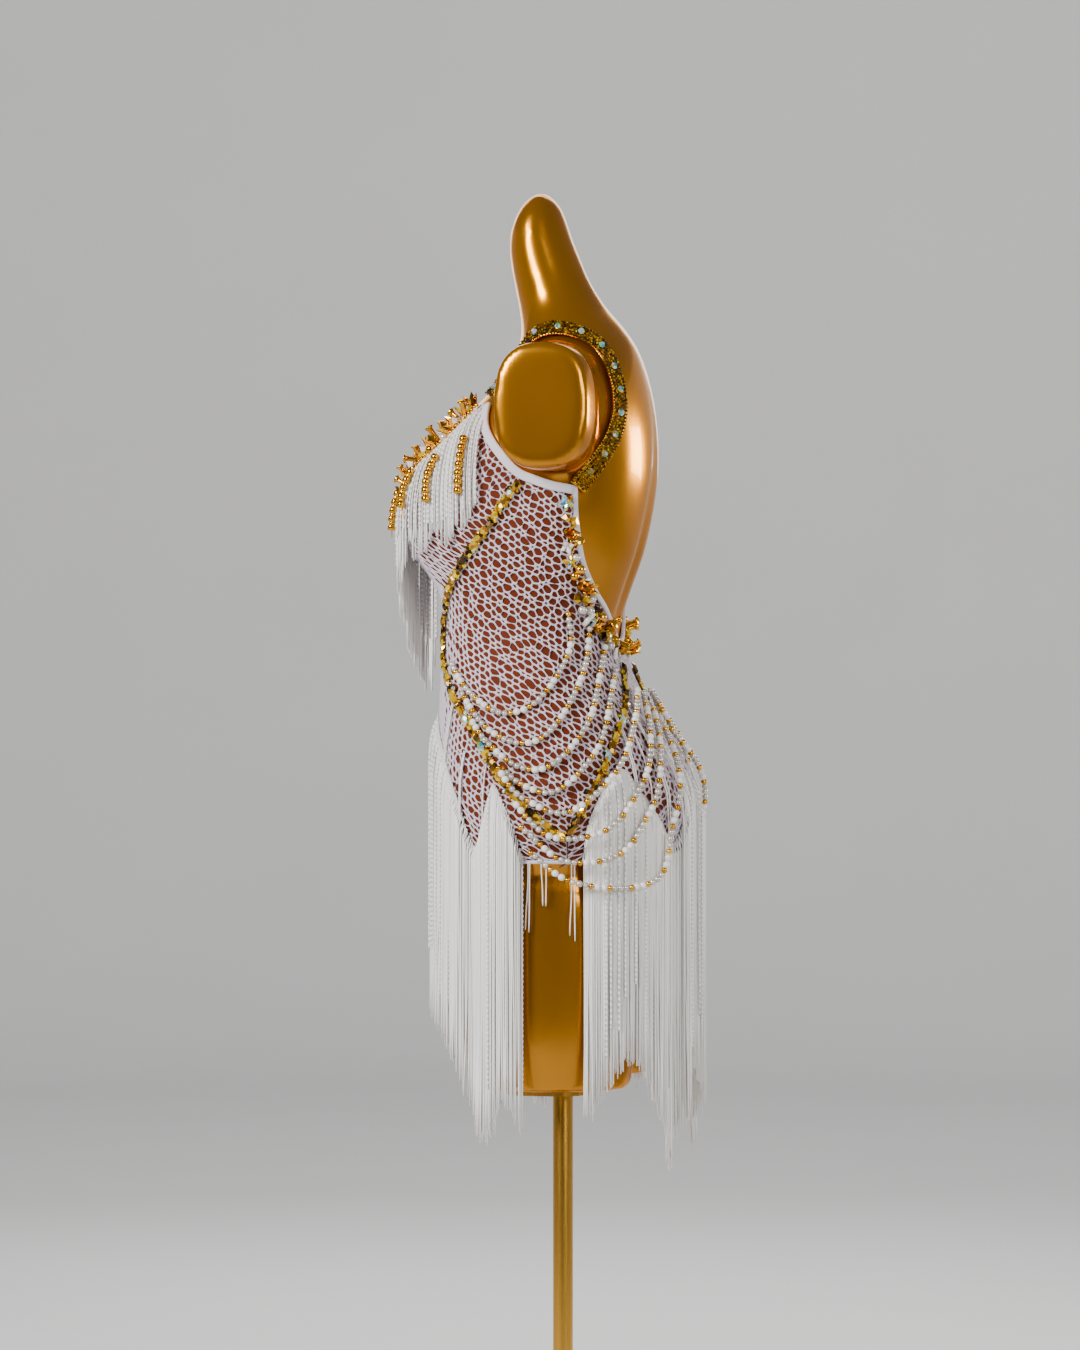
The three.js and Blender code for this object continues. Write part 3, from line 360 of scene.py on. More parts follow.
def make_brass():
    f = Finish("stand_brass", Metallic=1.0)
    upright = f.node("ShaderNodeMapping", {"vector_type": "POINT"},
                     {"Vector": f.place(), "Scale": (60, 60, 3)})
    brushed = f.noise(8.0, 3.0, upright)
    f.set("Base Color", f.blend(brushed, (0.60, 0.31, 0.045), (0.66, 0.36, 0.06)))
    return f.set("Roughness", 0.24 + brushed * 0.06).material

def make_net():
    f = Finish("net_yarn", Roughness=0.85, Sheen_Weight=0.3)
    yarn = f.noise(900.0, 3.0)
    f.set("Base Color", f.blend(yarn, (0.49, 0.435, 0.51), (0.65, 0.59, 0.67)))
    return f.bump(yarn, 0.5, 0.4).material

def make_lining():
    f = Finish("lining", Roughness=0.8, Specular_IOR_Level=0.2)
    soft = f.noise(60.0, 3.0)
    f.set("Base Color", f.blend(soft, (0.086, 0.0115, 0.0015), (0.13, 0.0195, 0.003)))
    return f.bump(f.noise(1500.0, 1.0), 0.4, 0.2).material

def make_elastic():
    f = Finish("elastic", Roughness=0.62, Sheen_Weight=0.25)
    ribs = f.node("ShaderNodeTexWave", {"wave_type": "BANDS", "bands_direction": "X"},
                  {"Vector": f.uv(1.0, 1.0), "Scale": 0.32, "Distortion": 0.3})
    f.set("Base Color", f.blend(ribs, (0.62, 0.58, 0.68), (0.74, 0.71, 0.78)))
    return f.bump(ribs, 0.35, 0.2).material

def make_fringe():
    f = Finish("fringe_cord", Roughness=0.5, Sheen_Weight=0.3)
    twist = f.node("ShaderNodeTexWave", {"wave_type": "BANDS", "bands_direction": "DIAGONAL"},
                   {"Vector": f.uv(6.0, 1.0), "Scale": 0.16, "Distortion": 0.4})
    shade = f.own("tone")
    # Low tones are painted shade: the rings between a chain's beads, and the inner layer of cords.
    f.set("Base Color", f.ramp(shade, (0.0, (0.48, 0.46, 0.46)), (0.4, (0.84, 0.825, 0.81)),
                               (1.0, (0.95, 0.94, 0.925))))
    return f.bump(twist, 0.35, 0.25).material

def make_gold_bead():
    f = Finish("gold_bead", Metallic=1.0, Roughness=0.16, Specular_Tint=(1.0, 0.7, 0.3, 1))
    f.set("Base Color", f.blend(f.own("tone"), (0.58, 0.27, 0.015), (0.90, 0.52, 0.07)))
    return f.material

def make_pearl():
    f = Finish("pearl", Roughness=0.22, Coat_Weight=0.85, Coat_Roughness=0.04, Metallic=0.5)
    f.set("Base Color", f.blend(f.own("tone"), (0.51, 0.47, 0.42), (0.68, 0.64, 0.59)))
    return f.material

def make_opal():
    f = Finish("opal_glass", Roughness=0.3, Coat_Weight=0.3, Coat_Roughness=0.15)
    f.set("Base Color", f.blend(f.own("tone"), (0.80, 0.79, 0.76), (0.90, 0.88, 0.85)))
    return f.material

def make_crystal():
    # A faint emission in the stones' own colour is a painted glow: the stones are no lamps.
    f = Finish("crystal", Roughness=0.12, Metallic=0.65, Coat_Weight=0.35, Coat_Roughness=0.02,
               Emission_Strength=0.08)
    # Tones up to 0.74 are the coating's golds. Beyond them are painted flashes on single facets: white and
    # pale yellow glints, and the coating's green, teal and blue.
    flash = f.ramp(f.own("tone"), (0.0, (0.012, 0.007, 0.001)), (0.28, (0.06, 0.035, 0.001)),
                   (0.46, (0.28, 0.12, 0.001)), (0.60, (0.66, 0.33, 0.001)), (0.74, (0.96, 0.66, 0.004)),
                   (0.80, (1.0, 1.0, 0.80)), (0.85, (0.10, 0.42, 0.03)), (0.90, (0.01, 0.50, 0.32)),
                   (0.945, (0.06, 0.20, 0.85)), (0.975, (0.95, 0.95, 1.0)), (1.0, (0.45, 0.75, 0.90)))
    return f.set("Base Color", flash).set("Emission Color", flash).material

FORM_GOLD, BRASS, NET, LINING = make_form_gold(), make_brass(), make_net(), make_lining()
ELASTIC, FRINGE, GOLD, PEARL = make_elastic(), make_fringe(), make_gold_bead(), make_pearl()
OPAL, CRYSTAL = make_opal(), make_crystal()

# %% [markdown]
# ## The dress form
#
# The trunk, two arm stubs and two thighs are closed lofts that run into each other. A voxel remesh
# melts them into one skin, and a few rounds of smoothing give the soft fillets of a moulded form.

# %% The form
def closed_loft(rings, first=0):
    """Faces of a closed loft: quads between its rings, and one polygon at each end."""
    rows, sides = rings.shape[:2]
    ends = np.arange(sides)
    return [grid_faces(rows, sides, wrap=True, first=first), (ends[::-1] + first)[None],
            (ends + (rows - 1) * sides + first)[None]]

def superellipse(count, power):
    turn = np.linspace(0, 2 * np.pi, count, endpoint=False)
    return signed_power(np.cos(turn), 2 / power), signed_power(np.sin(turn), 2 / power)

ARM_STUB = table("x y depth height", (60, 10, 28, 40), (102, 10, 36, 54), (124, 11, 45, 61),
                 (160, 11, 48, 62), (182, 9.2, 46, 60.5), (186.5, 9, 44.5, 59))
THIGH = table("z x half depth", (575, 82, 63, 80), (620, 86, 67, 86), (680, 87, 68, 92),
              (740, 87, 68, 93), (775, 86, 67, 84), (806, 80, 58, 66))
STUB_Z, STUB_POWER, THIGH_POWER, LIMB_SIDES = 1236, 2.6, 2.0, 72
VOXEL = 0.0045

def form_shells():
    """Closed rings of the trunk, of both arm stubs and of both thighs."""
    low, high = TRUNK["z"][[0, -1]]
    levels = np.append(np.arange(low, high, 4.0), high)
    shells = [trunk(np.arange(0, 360, 3.0)[None], levels[:, None])]
    c, s = superellipse(LIMB_SIDES, STUB_POWER)
    x, y, depth, height = (ARM_STUB[column][:, None] for column in ("x", "y", "depth", "height"))
    stub = np.stack([x + 0 * c, y + depth * c, STUB_Z + height * s], -1)
    c, s = superellipse(LIMB_SIDES, THIGH_POWER)
    heights = np.linspace(*THIGH["z"][[0, -1]], 40)
    centre, half, depth = (cubic(THIGH, name, heights)[:, None] for name in ("x", "half", "depth"))
    thigh = np.stack([centre + half * c, depth * s, heights[:, None] + 0 * c], -1)
    for shell in (stub, thigh):
        shells += [shell, shell[:, ::-1] * [-1, 1, 1]]
    return shells

def make_form():
    points, faces, count = [], [], 0
    for shell in form_shells():
        faces += closed_loft(shell, count)
        points.append(shell.reshape(-1, 3))
        count += len(points[-1])
    form = add_piece("form", np.vstack(points), faces, [FORM_GOLD], "form_gold")
    melt = form.modifiers.new("melt", "REMESH")
    melt.mode, melt.voxel_size, melt.use_smooth_shade = "VOXEL", VOXEL, True
    soften = form.modifiers.new("soften", "SMOOTH")
    soften.factor, soften.iterations = 0.5, 8
    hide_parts("form_body")
    return form

form = make_form()

# %% [markdown]
# ## The cut pieces as flat maps
#
# The net is laid out flat before it goes on the body. In the flat map a place is its distance round the
# body from a chosen upright line, and its height, so that the meshes keep their size everywhere. Each
# cut piece is an outline in this map.

# %% Flat maps and outlines
class FlatMap:
    """Distance round the body from an upright line, for angles between two limits, and its inverse.
    Both are tables over the heights that the cloth covers, read with a linear look-up."""
    def __init__(self, low, high, line):
        self.z = np.arange(780, 1262, 4.0)
        self.angles = np.linspace(low, high, int(high - low) + 1)
        points = trunk(self.angles[None], self.z[:, None])
        steps = np.linalg.norm(np.diff(points, axis=1), axis=-1)
        run = np.concatenate([np.zeros((len(self.z), 1)), np.cumsum(steps, axis=1)], axis=1)
        zero = np.array([np.interp(line, self.angles, row) for row in run])
        self.run = run - zero[:, None]
        self.x = np.linspace(self.run.min(), self.run.max(), 500)
        self.back = np.array([np.interp(self.x, row, self.angles) for row in self.run])

    @staticmethod
    def look_up(grid, columns, rows, x, z):
        i = np.clip((x - columns[0]) / (columns[1] - columns[0]), 0, len(columns) - 1.001)
        j = np.clip((z - rows[0]) / (rows[1] - rows[0]), 0, len(rows) - 1.001)
        a, b = i.astype(int), j.astype(int)
        u, v = i - a, j - b
        return ((grid[b, a] * (1 - u) + grid[b, a + 1] * u) * (1 - v)
                + (grid[b + 1, a] * (1 - u) + grid[b + 1, a + 1] * u) * v)

    def flat(self, angle, z):
        return np.stack([self.look_up(self.run, self.angles, self.z, angle, z), z], -1)

    def angle(self, flat):
        return self.look_up(self.back, self.x, self.z, flat[..., 0], flat[..., 1])

FRONT_SEAM = [(14.5, 798), (14.5, 823), (13, 824), (7, 832), (-0.5, 847), (-9, 872), (-17, 900),
              (-27, 929), (-43.5, 963), (-56, 993), (-58, 1023), (-49.5, 1053), (-33.5, 1077),
              (-22.5, 1098), (-14.5, 1119), (-8, 1145), (-1.5, 1174.5)]
BACK_SEAM = [(14.5, 798), (14.5, 823), (16, 824), (19.5, 839), (24.5, 858), (32, 881), (41.5, 909),
             (52.5, 933), (69, 962), (78, 985), (84, 1012)]
BACK_OPENING = [(84, 1012), (75, 1025), (63, 1041), (46, 1062), (32, 1091), (24.5, 1129), (21.5, 1161)]
NECKLINE = [(-90, 1100), (-80, 1119), (-71, 1146), (-66, 1166), (-60.5, 1187), (-52.5, 1203),
            (-48, 1222), (-47, 1241)]
FRONT_ARMHOLE = [(-38, 1242), (-27.5, 1221), (-14, 1197), (-1.5, 1174.5)]
SIDE_TOP = [(-1.5, 1174.5), (8.5, 1166), (21.5, 1161)]

HALF_GAP = 0.25
OUTLINE_STEP = 4

def inner_edge(rows, shift):
    """A seam's rows moved sideways, by half the gap that is left at a seam, in degrees."""
    return [(angle + shift, z) for angle, z in rows]

def closed_outline(half, line):
    """A whole outline from its left half and the upright line that mirrors it."""
    half = np.array(half, float)
    return np.vstack([half, (half * [-1, 1] + [2 * line, 0])[::-1]])

OUTLINES = {
    "front": closed_outline(inner_edge(FRONT_SEAM, -HALF_GAP) + FRONT_ARMHOLE[2::-1] + NECKLINE[::-1], -90),
    "side": np.vstack([inner_edge(FRONT_SEAM[2:], HALF_GAP), SIDE_TOP[1:], BACK_OPENING[-2::-1],
                       inner_edge(BACK_SEAM[-2:1:-1], -HALF_GAP)]),
    "back": closed_outline(inner_edge(BACK_SEAM, HALF_GAP), 90),
}
MAPS = {"front": FlatMap(-206, 26, -90), "side": FlatMap(-70, 95, 0), "back": FlatMap(8, 172, 90)}

def outline_points(name):
    """The cut piece's outline in its flat map, at steps of a few millimetres."""
    rows = OUTLINES[name]
    closed = np.vstack([rows, rows[:1]])
    places = []
    for a, b in zip(closed[:-1], closed[1:]):
        count = max(1, int(np.hypot((b - a)[0] * ANGLE_TO_MM, (b - a)[1]) / OUTLINE_STEP))
        places.append(a + (b - a) * (np.arange(count) / count)[:, None])
    places = np.vstack(places)
    return MAPS[name].flat(places[:, 0], places[:, 1])

def is_inside(points, outline):
    """True for points inside a closed outline: a level ray from them crosses it an odd number of times."""
    a, b = outline, np.roll(outline, -1, axis=0)
    x, z = points[:, :1], points[:, 1:]
    spans = (a[:, 1] > z) != (b[:, 1] > z)
    rise = np.where(b[:, 1] == a[:, 1], 1e-9, b[:, 1] - a[:, 1])
    return (spans & (x < a[:, 0] + (z - a[:, 1]) * (b[:, 0] - a[:, 0]) / rise)).sum(1) % 2 == 1

def nearest_on(points, outline):
    """The nearest place of a closed outline for each point."""
    a, d = outline, np.roll(outline, -1, axis=0) - outline
    t = ((points[:, None] - a) * d).sum(-1) / np.maximum((d * d).sum(-1), 1e-9)
    near = a + d * np.clip(t, 0, 1)[..., None]
    best = ((near - points[:, None]) ** 2).sum(-1).argmin(1)
    return near[np.arange(len(points)), best]

print("outlines:", {name: len(outline_points(name)) for name in OUTLINES})

# %% [markdown]
# ## The net and its lining
#
# The net is a warp knit with uneven round meshes. A lattice of seeds is jittered, every seed gets a size,
# and the corner between three seeds moves towards the smaller ones. So each seed has a six-sided cell,
# large or small. Its hole is the cell rounded towards an oval, as long and wide as the lattice's pitch,
# and drawn in by half the yarn's width. The yarn rises to a ridge between two holes. The lining is the
# same cells without holes, a little closer to the body.

# %% Net geometry
LINING_OUT, RIM_OUT, RIDGE_OUT = 1.2, 1.15, 2.9
MESH_PITCH, YARN = (8.2, 5.3), 2.2
JITTER = 0.34
CELL_SIZES, CELL_SHARES = [0.34, 0.7, 1.15, 2.0], [0.3, 0.25, 0.27, 0.18]
ROUNDING = 0.6
LEAST_HOLE, LARGEST_HOLE = 0.12, 0.86
AROUND = 12

def soft_folds(angle, z):
    """Small tension folds of the cloth: a few tenths of a millimetre, out from the body."""
    a, h = np.radians(angle), z / 100
    return (0.16 * np.sin(9 * a + 5.1 * h) + 0.13 * np.sin(14 * a - 7.3 * h + 1)
            + 0.10 * np.sin(23 * a + 3.7 * h + 2) * np.sin(6 * h))

def net_cells(name, turn, seed):
    """The lattice of one cut piece: its flat corners and mid-sides, and which twelve go round each cell.
    Corner = sum(seed / size) / sum(1 / size) over the three seeds round it. A cell is kept when one of
    its corners lies inside the outline."""
    rng = np.random.default_rng(seed)
    outline = outline_points(name)
    wide, tall = MESH_PITCH
    low, high = outline.min(0) - 2 * wide, outline.max(0) + 2 * wide
    middle, reach = (low + high) / 2, np.linalg.norm(high - low) / 2
    n = int(reach / tall) + 2
    i, j = np.meshgrid(np.arange(-2 * n, 2 * n), np.arange(-n, n), indexing="ij")
    local = np.stack([(i + j / 2) * wide, j * tall], -1)
    local = local + rng.uniform(-JITTER, JITTER, local.shape) * MESH_PITCH
    c, s = np.cos(np.radians(turn)), np.sin(np.radians(turn))
    seeds = local @ np.array([[c, s], [-s, c]]) + middle
    weight = 1 / rng.choice(CELL_SIZES, i.shape, p=CELL_SHARES)

    def corner(*steps):
        moved = [(np.roll(seeds, step, (0, 1)), np.roll(weight, step, (0, 1))) for step in steps]
        total = sum(w for _, w in moved)
        return sum(p * w[..., None] for p, w in moved) / total[..., None]

    near = ((seeds > low) & (seeds < high)).all(-1)

    def drawn_in(places):
        """Places, moved onto the outline where they lie outside it, and which ones lay inside."""
        inside = np.zeros(near.shape, bool)
        inside[near] = is_inside(places[near], outline)
        outside = near & ~inside
        places[outside] = nearest_on(places[outside], outline)
        return places, inside

    def side(*down_step):
        """The mid-sides between the upward corners and the downward ones beside them."""
        return drawn_in((up + np.roll(down, down_step, (0, 1))) / 2)[0]

    up, up_inside = drawn_in(corner((0, 0), (-1, 0), (0, -1)))
    down, down_inside = drawn_in(corner((-1, 0), (-1, -1), (0, -1)))
    families = [up, down, side(1, 0), side(0, 0), side(0, 1)]
    number = np.arange(near.size).reshape(near.shape)
    pick = [(0, 0, 0), (2, 0, 0), (1, 1, 0), (3, 1, 0), (0, 1, 0), (4, 1, 0),
            (1, 1, 1), (2, 0, 1), (0, 0, 1), (3, 0, 1), (1, 0, 1), (4, 0, 0)]
    cells = np.stack([np.roll(number, (di, dj), (0, 1)) + kind * near.size for kind, di, dj in pick], -1)
    kept = np.zeros_like(near)
    for kind, di, dj in pick:
        if kind < 2:
            kept |= np.roll((up_inside, down_inside)[kind], (di, dj), (0, 1))
    used, cells = np.unique(cells[kept & near], return_inverse=True)
    points = np.concatenate([f.reshape(-1, 2) for f in families])[used]
    return points, cells.reshape(-1, AROUND)

def lay_net(name, cad_nodes, turn, seed, mirrored=False):
    """A panel's net and lining. Hole = centre + direction * (rounded reach - yarn / 2), where reach is
    rounded to an oval that is as long and as wide as the lattice's pitch."""
    cut_piece = name.split("_")[0]
    flat, cells = net_cells(cut_piece, turn, seed)
    chart = MAPS[cut_piece]
    n = len(cells)
    around = flat[cells]
    centre = around.mean(1, keepdims=True)
    c, s = np.cos(np.radians(turn)), np.sin(np.radians(turn))
    in_lattice = (around - centre) @ np.array([[c, -s], [s, c]]) / MESH_PITCH
    stretched = np.maximum(np.linalg.norm(in_lattice, axis=-1, keepdims=True), 1e-6)
    oval = stretched.mean(1, keepdims=True) / stretched
    spoke = (around - centre) * (1 - ROUNDING + ROUNDING * oval)
    reach = np.maximum(np.linalg.norm(spoke, axis=-1, keepdims=True), 1e-6)
    hole = centre + spoke / reach * np.clip(reach - YARN / 2, LEAST_HOLE * reach, LARGEST_HOLE * reach)

    def on_body(places, out):
        angle = chart.angle(places)
        return skin(angle, places[..., 1], out + soft_folds(angle, places[..., 1]))

    ridge = on_body(flat, RIDGE_OUT)
    rim = on_body(hole.reshape(-1, 2), RIM_OUT)
    count = len(flat)
    rims = count + np.arange(AROUND * n).reshape(n, AROUND)
    faces = np.stack([cells, np.roll(cells, -1, 1), np.roll(rims, -1, 1), rims], -1).reshape(-1, 4)
    points = np.vstack([ridge, rim])
    lining = np.vstack([on_body(flat, LINING_OUT), on_body(centre[:, 0], LINING_OUT)])
    hubs = np.repeat(count + np.arange(n)[:, None], AROUND, 1)
    fans = np.stack([cells, np.roll(cells, -1, 1), hubs], -1).reshape(-1, 3)
    if mirrored:
        points, lining = points * [-1, 1, 1], lining * [-1, 1, 1]
        faces, fans = faces[:, ::-1], fans[:, ::-1]
    net = add_piece(name + "_net", points, faces, [NET], "net")
    under = add_piece(name + "_lining", lining, fans, [LINING], "net")
    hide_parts(*cad_nodes)
    edges = lining[fans]
    area = np.linalg.norm(np.cross(edges[:, 1] - edges[:, 0], edges[:, 2] - edges[:, 0]), axis=1).sum() / 2
    return net, under, area * MM * MM

PANELS = {
    "front": lay_net("front", ["front_panel"], -34, 3),
    "side_left": lay_net("side_left", ["side_panel_left"], -36, 7),
    "side_right": lay_net("side_right", ["side_panel_right"], -36, 8, mirrored=True),
    "back": lay_net("back", ["back_panel"], 34, 11),
}
for name, (_, _, area) in PANELS.items():
    print("%-11s net: %.0f square centimetres" % (name, area * 1e4))

# %% [markdown]
# ## Bands: gusset, bindings, straps and tapes
#
# A band is a rounded section swept along a path of the body. Its section lies across the path and out
# from the body, in millimetres.

# %% Swept bands
def rounded_section(width, low, high, shift=0.0, power=4.0, count=14):
    """A flat rounded section: width across, from low to high out from the body."""
    c, s = superellipse(count, power)
    return np.stack([shift + width / 2 * c, (low + high) / 2 + (high - low) / 2 * s], -1)

def sweep(places, section):
    """Rings of a band along places on the body."""
    points, _, across, out = path_frames(places)
    return points[:, None] + across[:, None] * section[:, :1] + out[:, None] * section[:, 1:]

def add_band(name, rings, material, slot, replaced=(), mirrored=False):
    """A band as a piece, with a map of distance along and round it for its weave."""
    if mirrored:
        rings = rings[:, ::-1] * [-1, 1, 1]
    along = np.concatenate([[0], np.cumsum(np.linalg.norm(np.diff(rings.mean(1), axis=0), axis=1))])
    uv = np.stack(np.broadcast_arrays(along[:, None], np.arange(rings.shape[1])[None] * 1.0), -1)
    band = add_piece(name, rings.reshape(-1, 3), closed_loft(rings), [material], slot, uv=uv.reshape(-1, 2))
    if replaced:
        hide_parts(*replaced)

def add_band_pair(name, rings, material, slot, node=None):
    """The band on the wearer's left, and its mirror image on the right."""
    for side, mirrored in (("left", False), ("right", True)):
        replaced = [node + "_" + side] if node else []
        add_band(name + "_" + side, rings, material, slot, replaced, mirrored)

armhole_path, _ = body_path(FRONT_ARMHOLE + SIDE_TOP[1:], 4)
add_band_pair("armhole_elastic", sweep(armhole_path, rounded_section(9.0, 0.9, 5.2, -3.6)),
              ELASTIC, "elastic", "armhole_binding")
back_edge, _ = body_path(both_sides(BACK_OPENING[::-1] + [(90, 1009)]), 4)
add_band("back_edge_elastic", sweep(back_edge, rounded_section(5.0, 0.9, 4.8, 0.6)), ELASTIC, "elastic",
         ["back_binding"])

LEG_LINE = 799
leg_path, _ = body_path([(angle, LEG_LINE) for angle in range(-80, 81, 20)], 5)
add_band_pair("leg_edge", sweep(leg_path, rounded_section(3.6, 1.0, 3.8, power=2.2, count=10)),
              ELASTIC, "elastic")

def gusset_rings():
    """The strip between the legs: down the front, under the trunk and up the back."""
    down = trunk(-90.0, np.array([797.2, 788, 778, 768.0]))
    under = np.array([[0, -26, 762], [0, 5, 762], [0, 36, 762.0]])
    up = trunk(90.0, np.array([768, 778, 788, 797.2]))
    run, _ = spaced(catmull_rom(np.vstack([down, under, up])), 4)
    along = unit(np.gradient(run, axis=0))
    out = np.cross(along, [1, 0, 0])
    out = out * np.where((out[:, 2:] > 0) & (run[:, 2:] < 770), -1, 1)
    section = rounded_section(30, 2.0, 4.0, power=5)
    return run[:, None] + section[:, :1] * [1, 0, 0] + out[:, None] * section[:, 1:]

add_band("gusset_strip", gusset_rings(), ELASTIC, "elastic", ["gusset"])

STRAP_ROWS = [(-42.5, 1249), (-41, 1280), (-34, 1303), (-13, 1314), (10, 1311), (31, 1296), (42, 1268),
              (45, 1238), (41, 1210), (33, 1186), (26.5, 1170), (23, 1160)]
strap_path, _ = body_path(STRAP_ROWS, 3.2)
add_band_pair("strap_base", sweep(strap_path, rounded_section(19.0, 4.2, 5.9, power=5)),
              GOLD, "gold_trim", "strap")

# %% [markdown]
# ## Beads and stones
#
# A bead is a small template that is set many times: every copy has its place, its own axes, a size and
# a tone. All the copies of one trim become one mesh, so that thousands of beads stay light.

# %% Templates
def ball(sides=8, levels=6):
    """A bead of diameter 1."""
    tilt = np.linspace(0, np.pi, levels + 1)[1:-1]
    turn = np.linspace(0, 2 * np.pi, sides, endpoint=False)
    rings = np.stack([np.sin(tilt)[:, None] * np.cos(turn), np.sin(tilt)[:, None] * np.sin(turn),
                      np.cos(tilt)[:, None] + 0 * turn], -1).reshape(-1, 3)
    points = np.vstack([rings, [[0, 0, 1], [0, 0, -1]]]) / 2
    last, c = len(rings), np.arange(sides)
    d = (c + 1) % sides
    caps = np.stack([np.concatenate([c, d + last - sides]), np.concatenate([d, c + last - sides]),
                     np.repeat([last, last + 1], sides)], -1)
    return points, [grid_faces(levels - 1, sides, wrap=True)[:, ::-1], caps], True

def turned_bead(radii, heights, sides=8, smooth=True):
    """A closed turned bead about its own z axis."""
    turn = np.linspace(0, 2 * np.pi, sides, endpoint=False)
    radii, heights = np.asarray(radii, float)[:, None], np.asarray(heights, float)[:, None]
    rings = np.stack([radii * np.cos(turn), radii * np.sin(turn), heights + 0 * turn], -1)
    return rings.reshape(-1, 3), closed_loft(rings), smooth

def cut_stone(outline, table_share=0.55, girdle=0.25):
    """A faceted stone, 1 high on a flat back: an outline, a girdle, crown facets and a table on top."""
    outline = np.asarray(outline, float)
    rings = [np.column_stack([outline * share, np.full(len(outline), z)])
             for share, z in ((0.92, 0), (1, girdle), (table_share, 1))]
    return np.vstack(rings), closed_loft(np.array(rings)), False

def petals(count, length, width, cup):
    """A flower or star: pointed petals round a centre, cupped upwards."""
    points, faces = [], []
    for k in range(count):
        turn = 2 * np.pi * k / count
        along = np.array([np.cos(turn), np.sin(turn), 0])
        across = np.array([-np.sin(turn), np.cos(turn), 0])
        up = np.array([0, 0, 1.0])
        points += [up * 0.1, along * length * 0.5 + across * width / 2 + up * cup * 0.4,
                   along * length + up * cup, along * length * 0.5 - across * width / 2 + up * cup * 0.4,
                   along * length * 0.5 + up * (cup * 0.5 + 0.9), along * length * 0.45 - up * 0.5]
        b = 6 * k
        faces += [(b, b + 1, b + 4), (b + 1, b + 2, b + 4), (b + 2, b + 3, b + 4), (b + 3, b, b + 4),
                  (b + 1, b, b + 5), (b + 2, b + 1, b + 5), (b + 3, b + 2, b + 5), (b, b + 3, b + 5)]
    return np.array(points), [np.array(faces)], False

def polygon(count):
    angle = 2 * np.pi * (np.arange(count) + 0.5) / count
    return np.column_stack([np.cos(angle), np.sin(angle)])

BALL = ball()
DRUM = turned_bead([0.36, 0.5, 0.5, 0.36], [-0.42, -0.26, 0.26, 0.42])
BIG_BALL = ball(14, 9)
BUGLE = turned_bead([1.3, 1.9, 1.8, 2.1, 3.5, 2.9], [0, 0.6, 7, 10, 11.6, 12], sides=10)
TUBE_BEAD = turned_bead([1.0, 1.5, 1.5, 1.0], [-4.6, -4.2, 4.2, 4.6], sides=8)
TULIP, WHITE_PETALS = petals(5, 5.2, 5.2, 7.5), petals(4, 5.6, 4.4, 3.2)
CHATON = cut_stone(polygon(8), 0.55, 0.35)
SMALL_STONE = turned_bead([1, 1, 0.55], [0, 0.3, 0.8], sides=6, smooth=False)
MARQUISE = cut_stone([(1, 0), (0.45, 0.9), (-0.45, 0.9), (-1, 0), (-0.45, -0.9), (0.45, -0.9)], 0.45)
BAGUETTE = cut_stone([(1, 0.6), (0, 1), (-1, 0.6), (-1, -0.6), (0, -1), (1, -0.6)], 0.55)
SQUARE_STONE = cut_stone(polygon(4), 0.5, 0.35)

# %% [markdown]
# The facets of a stone differ a little in tone at random: painted light and shade that stands in for
# the sparkle of the facets. Tones up to WARM are golds and tones beyond it are the painted flashes, so a
# gold stone's facets stop at WARM.

# %% Setting many copies
WARM, FACET_GLINT_SPREAD = 0.74, 0.19

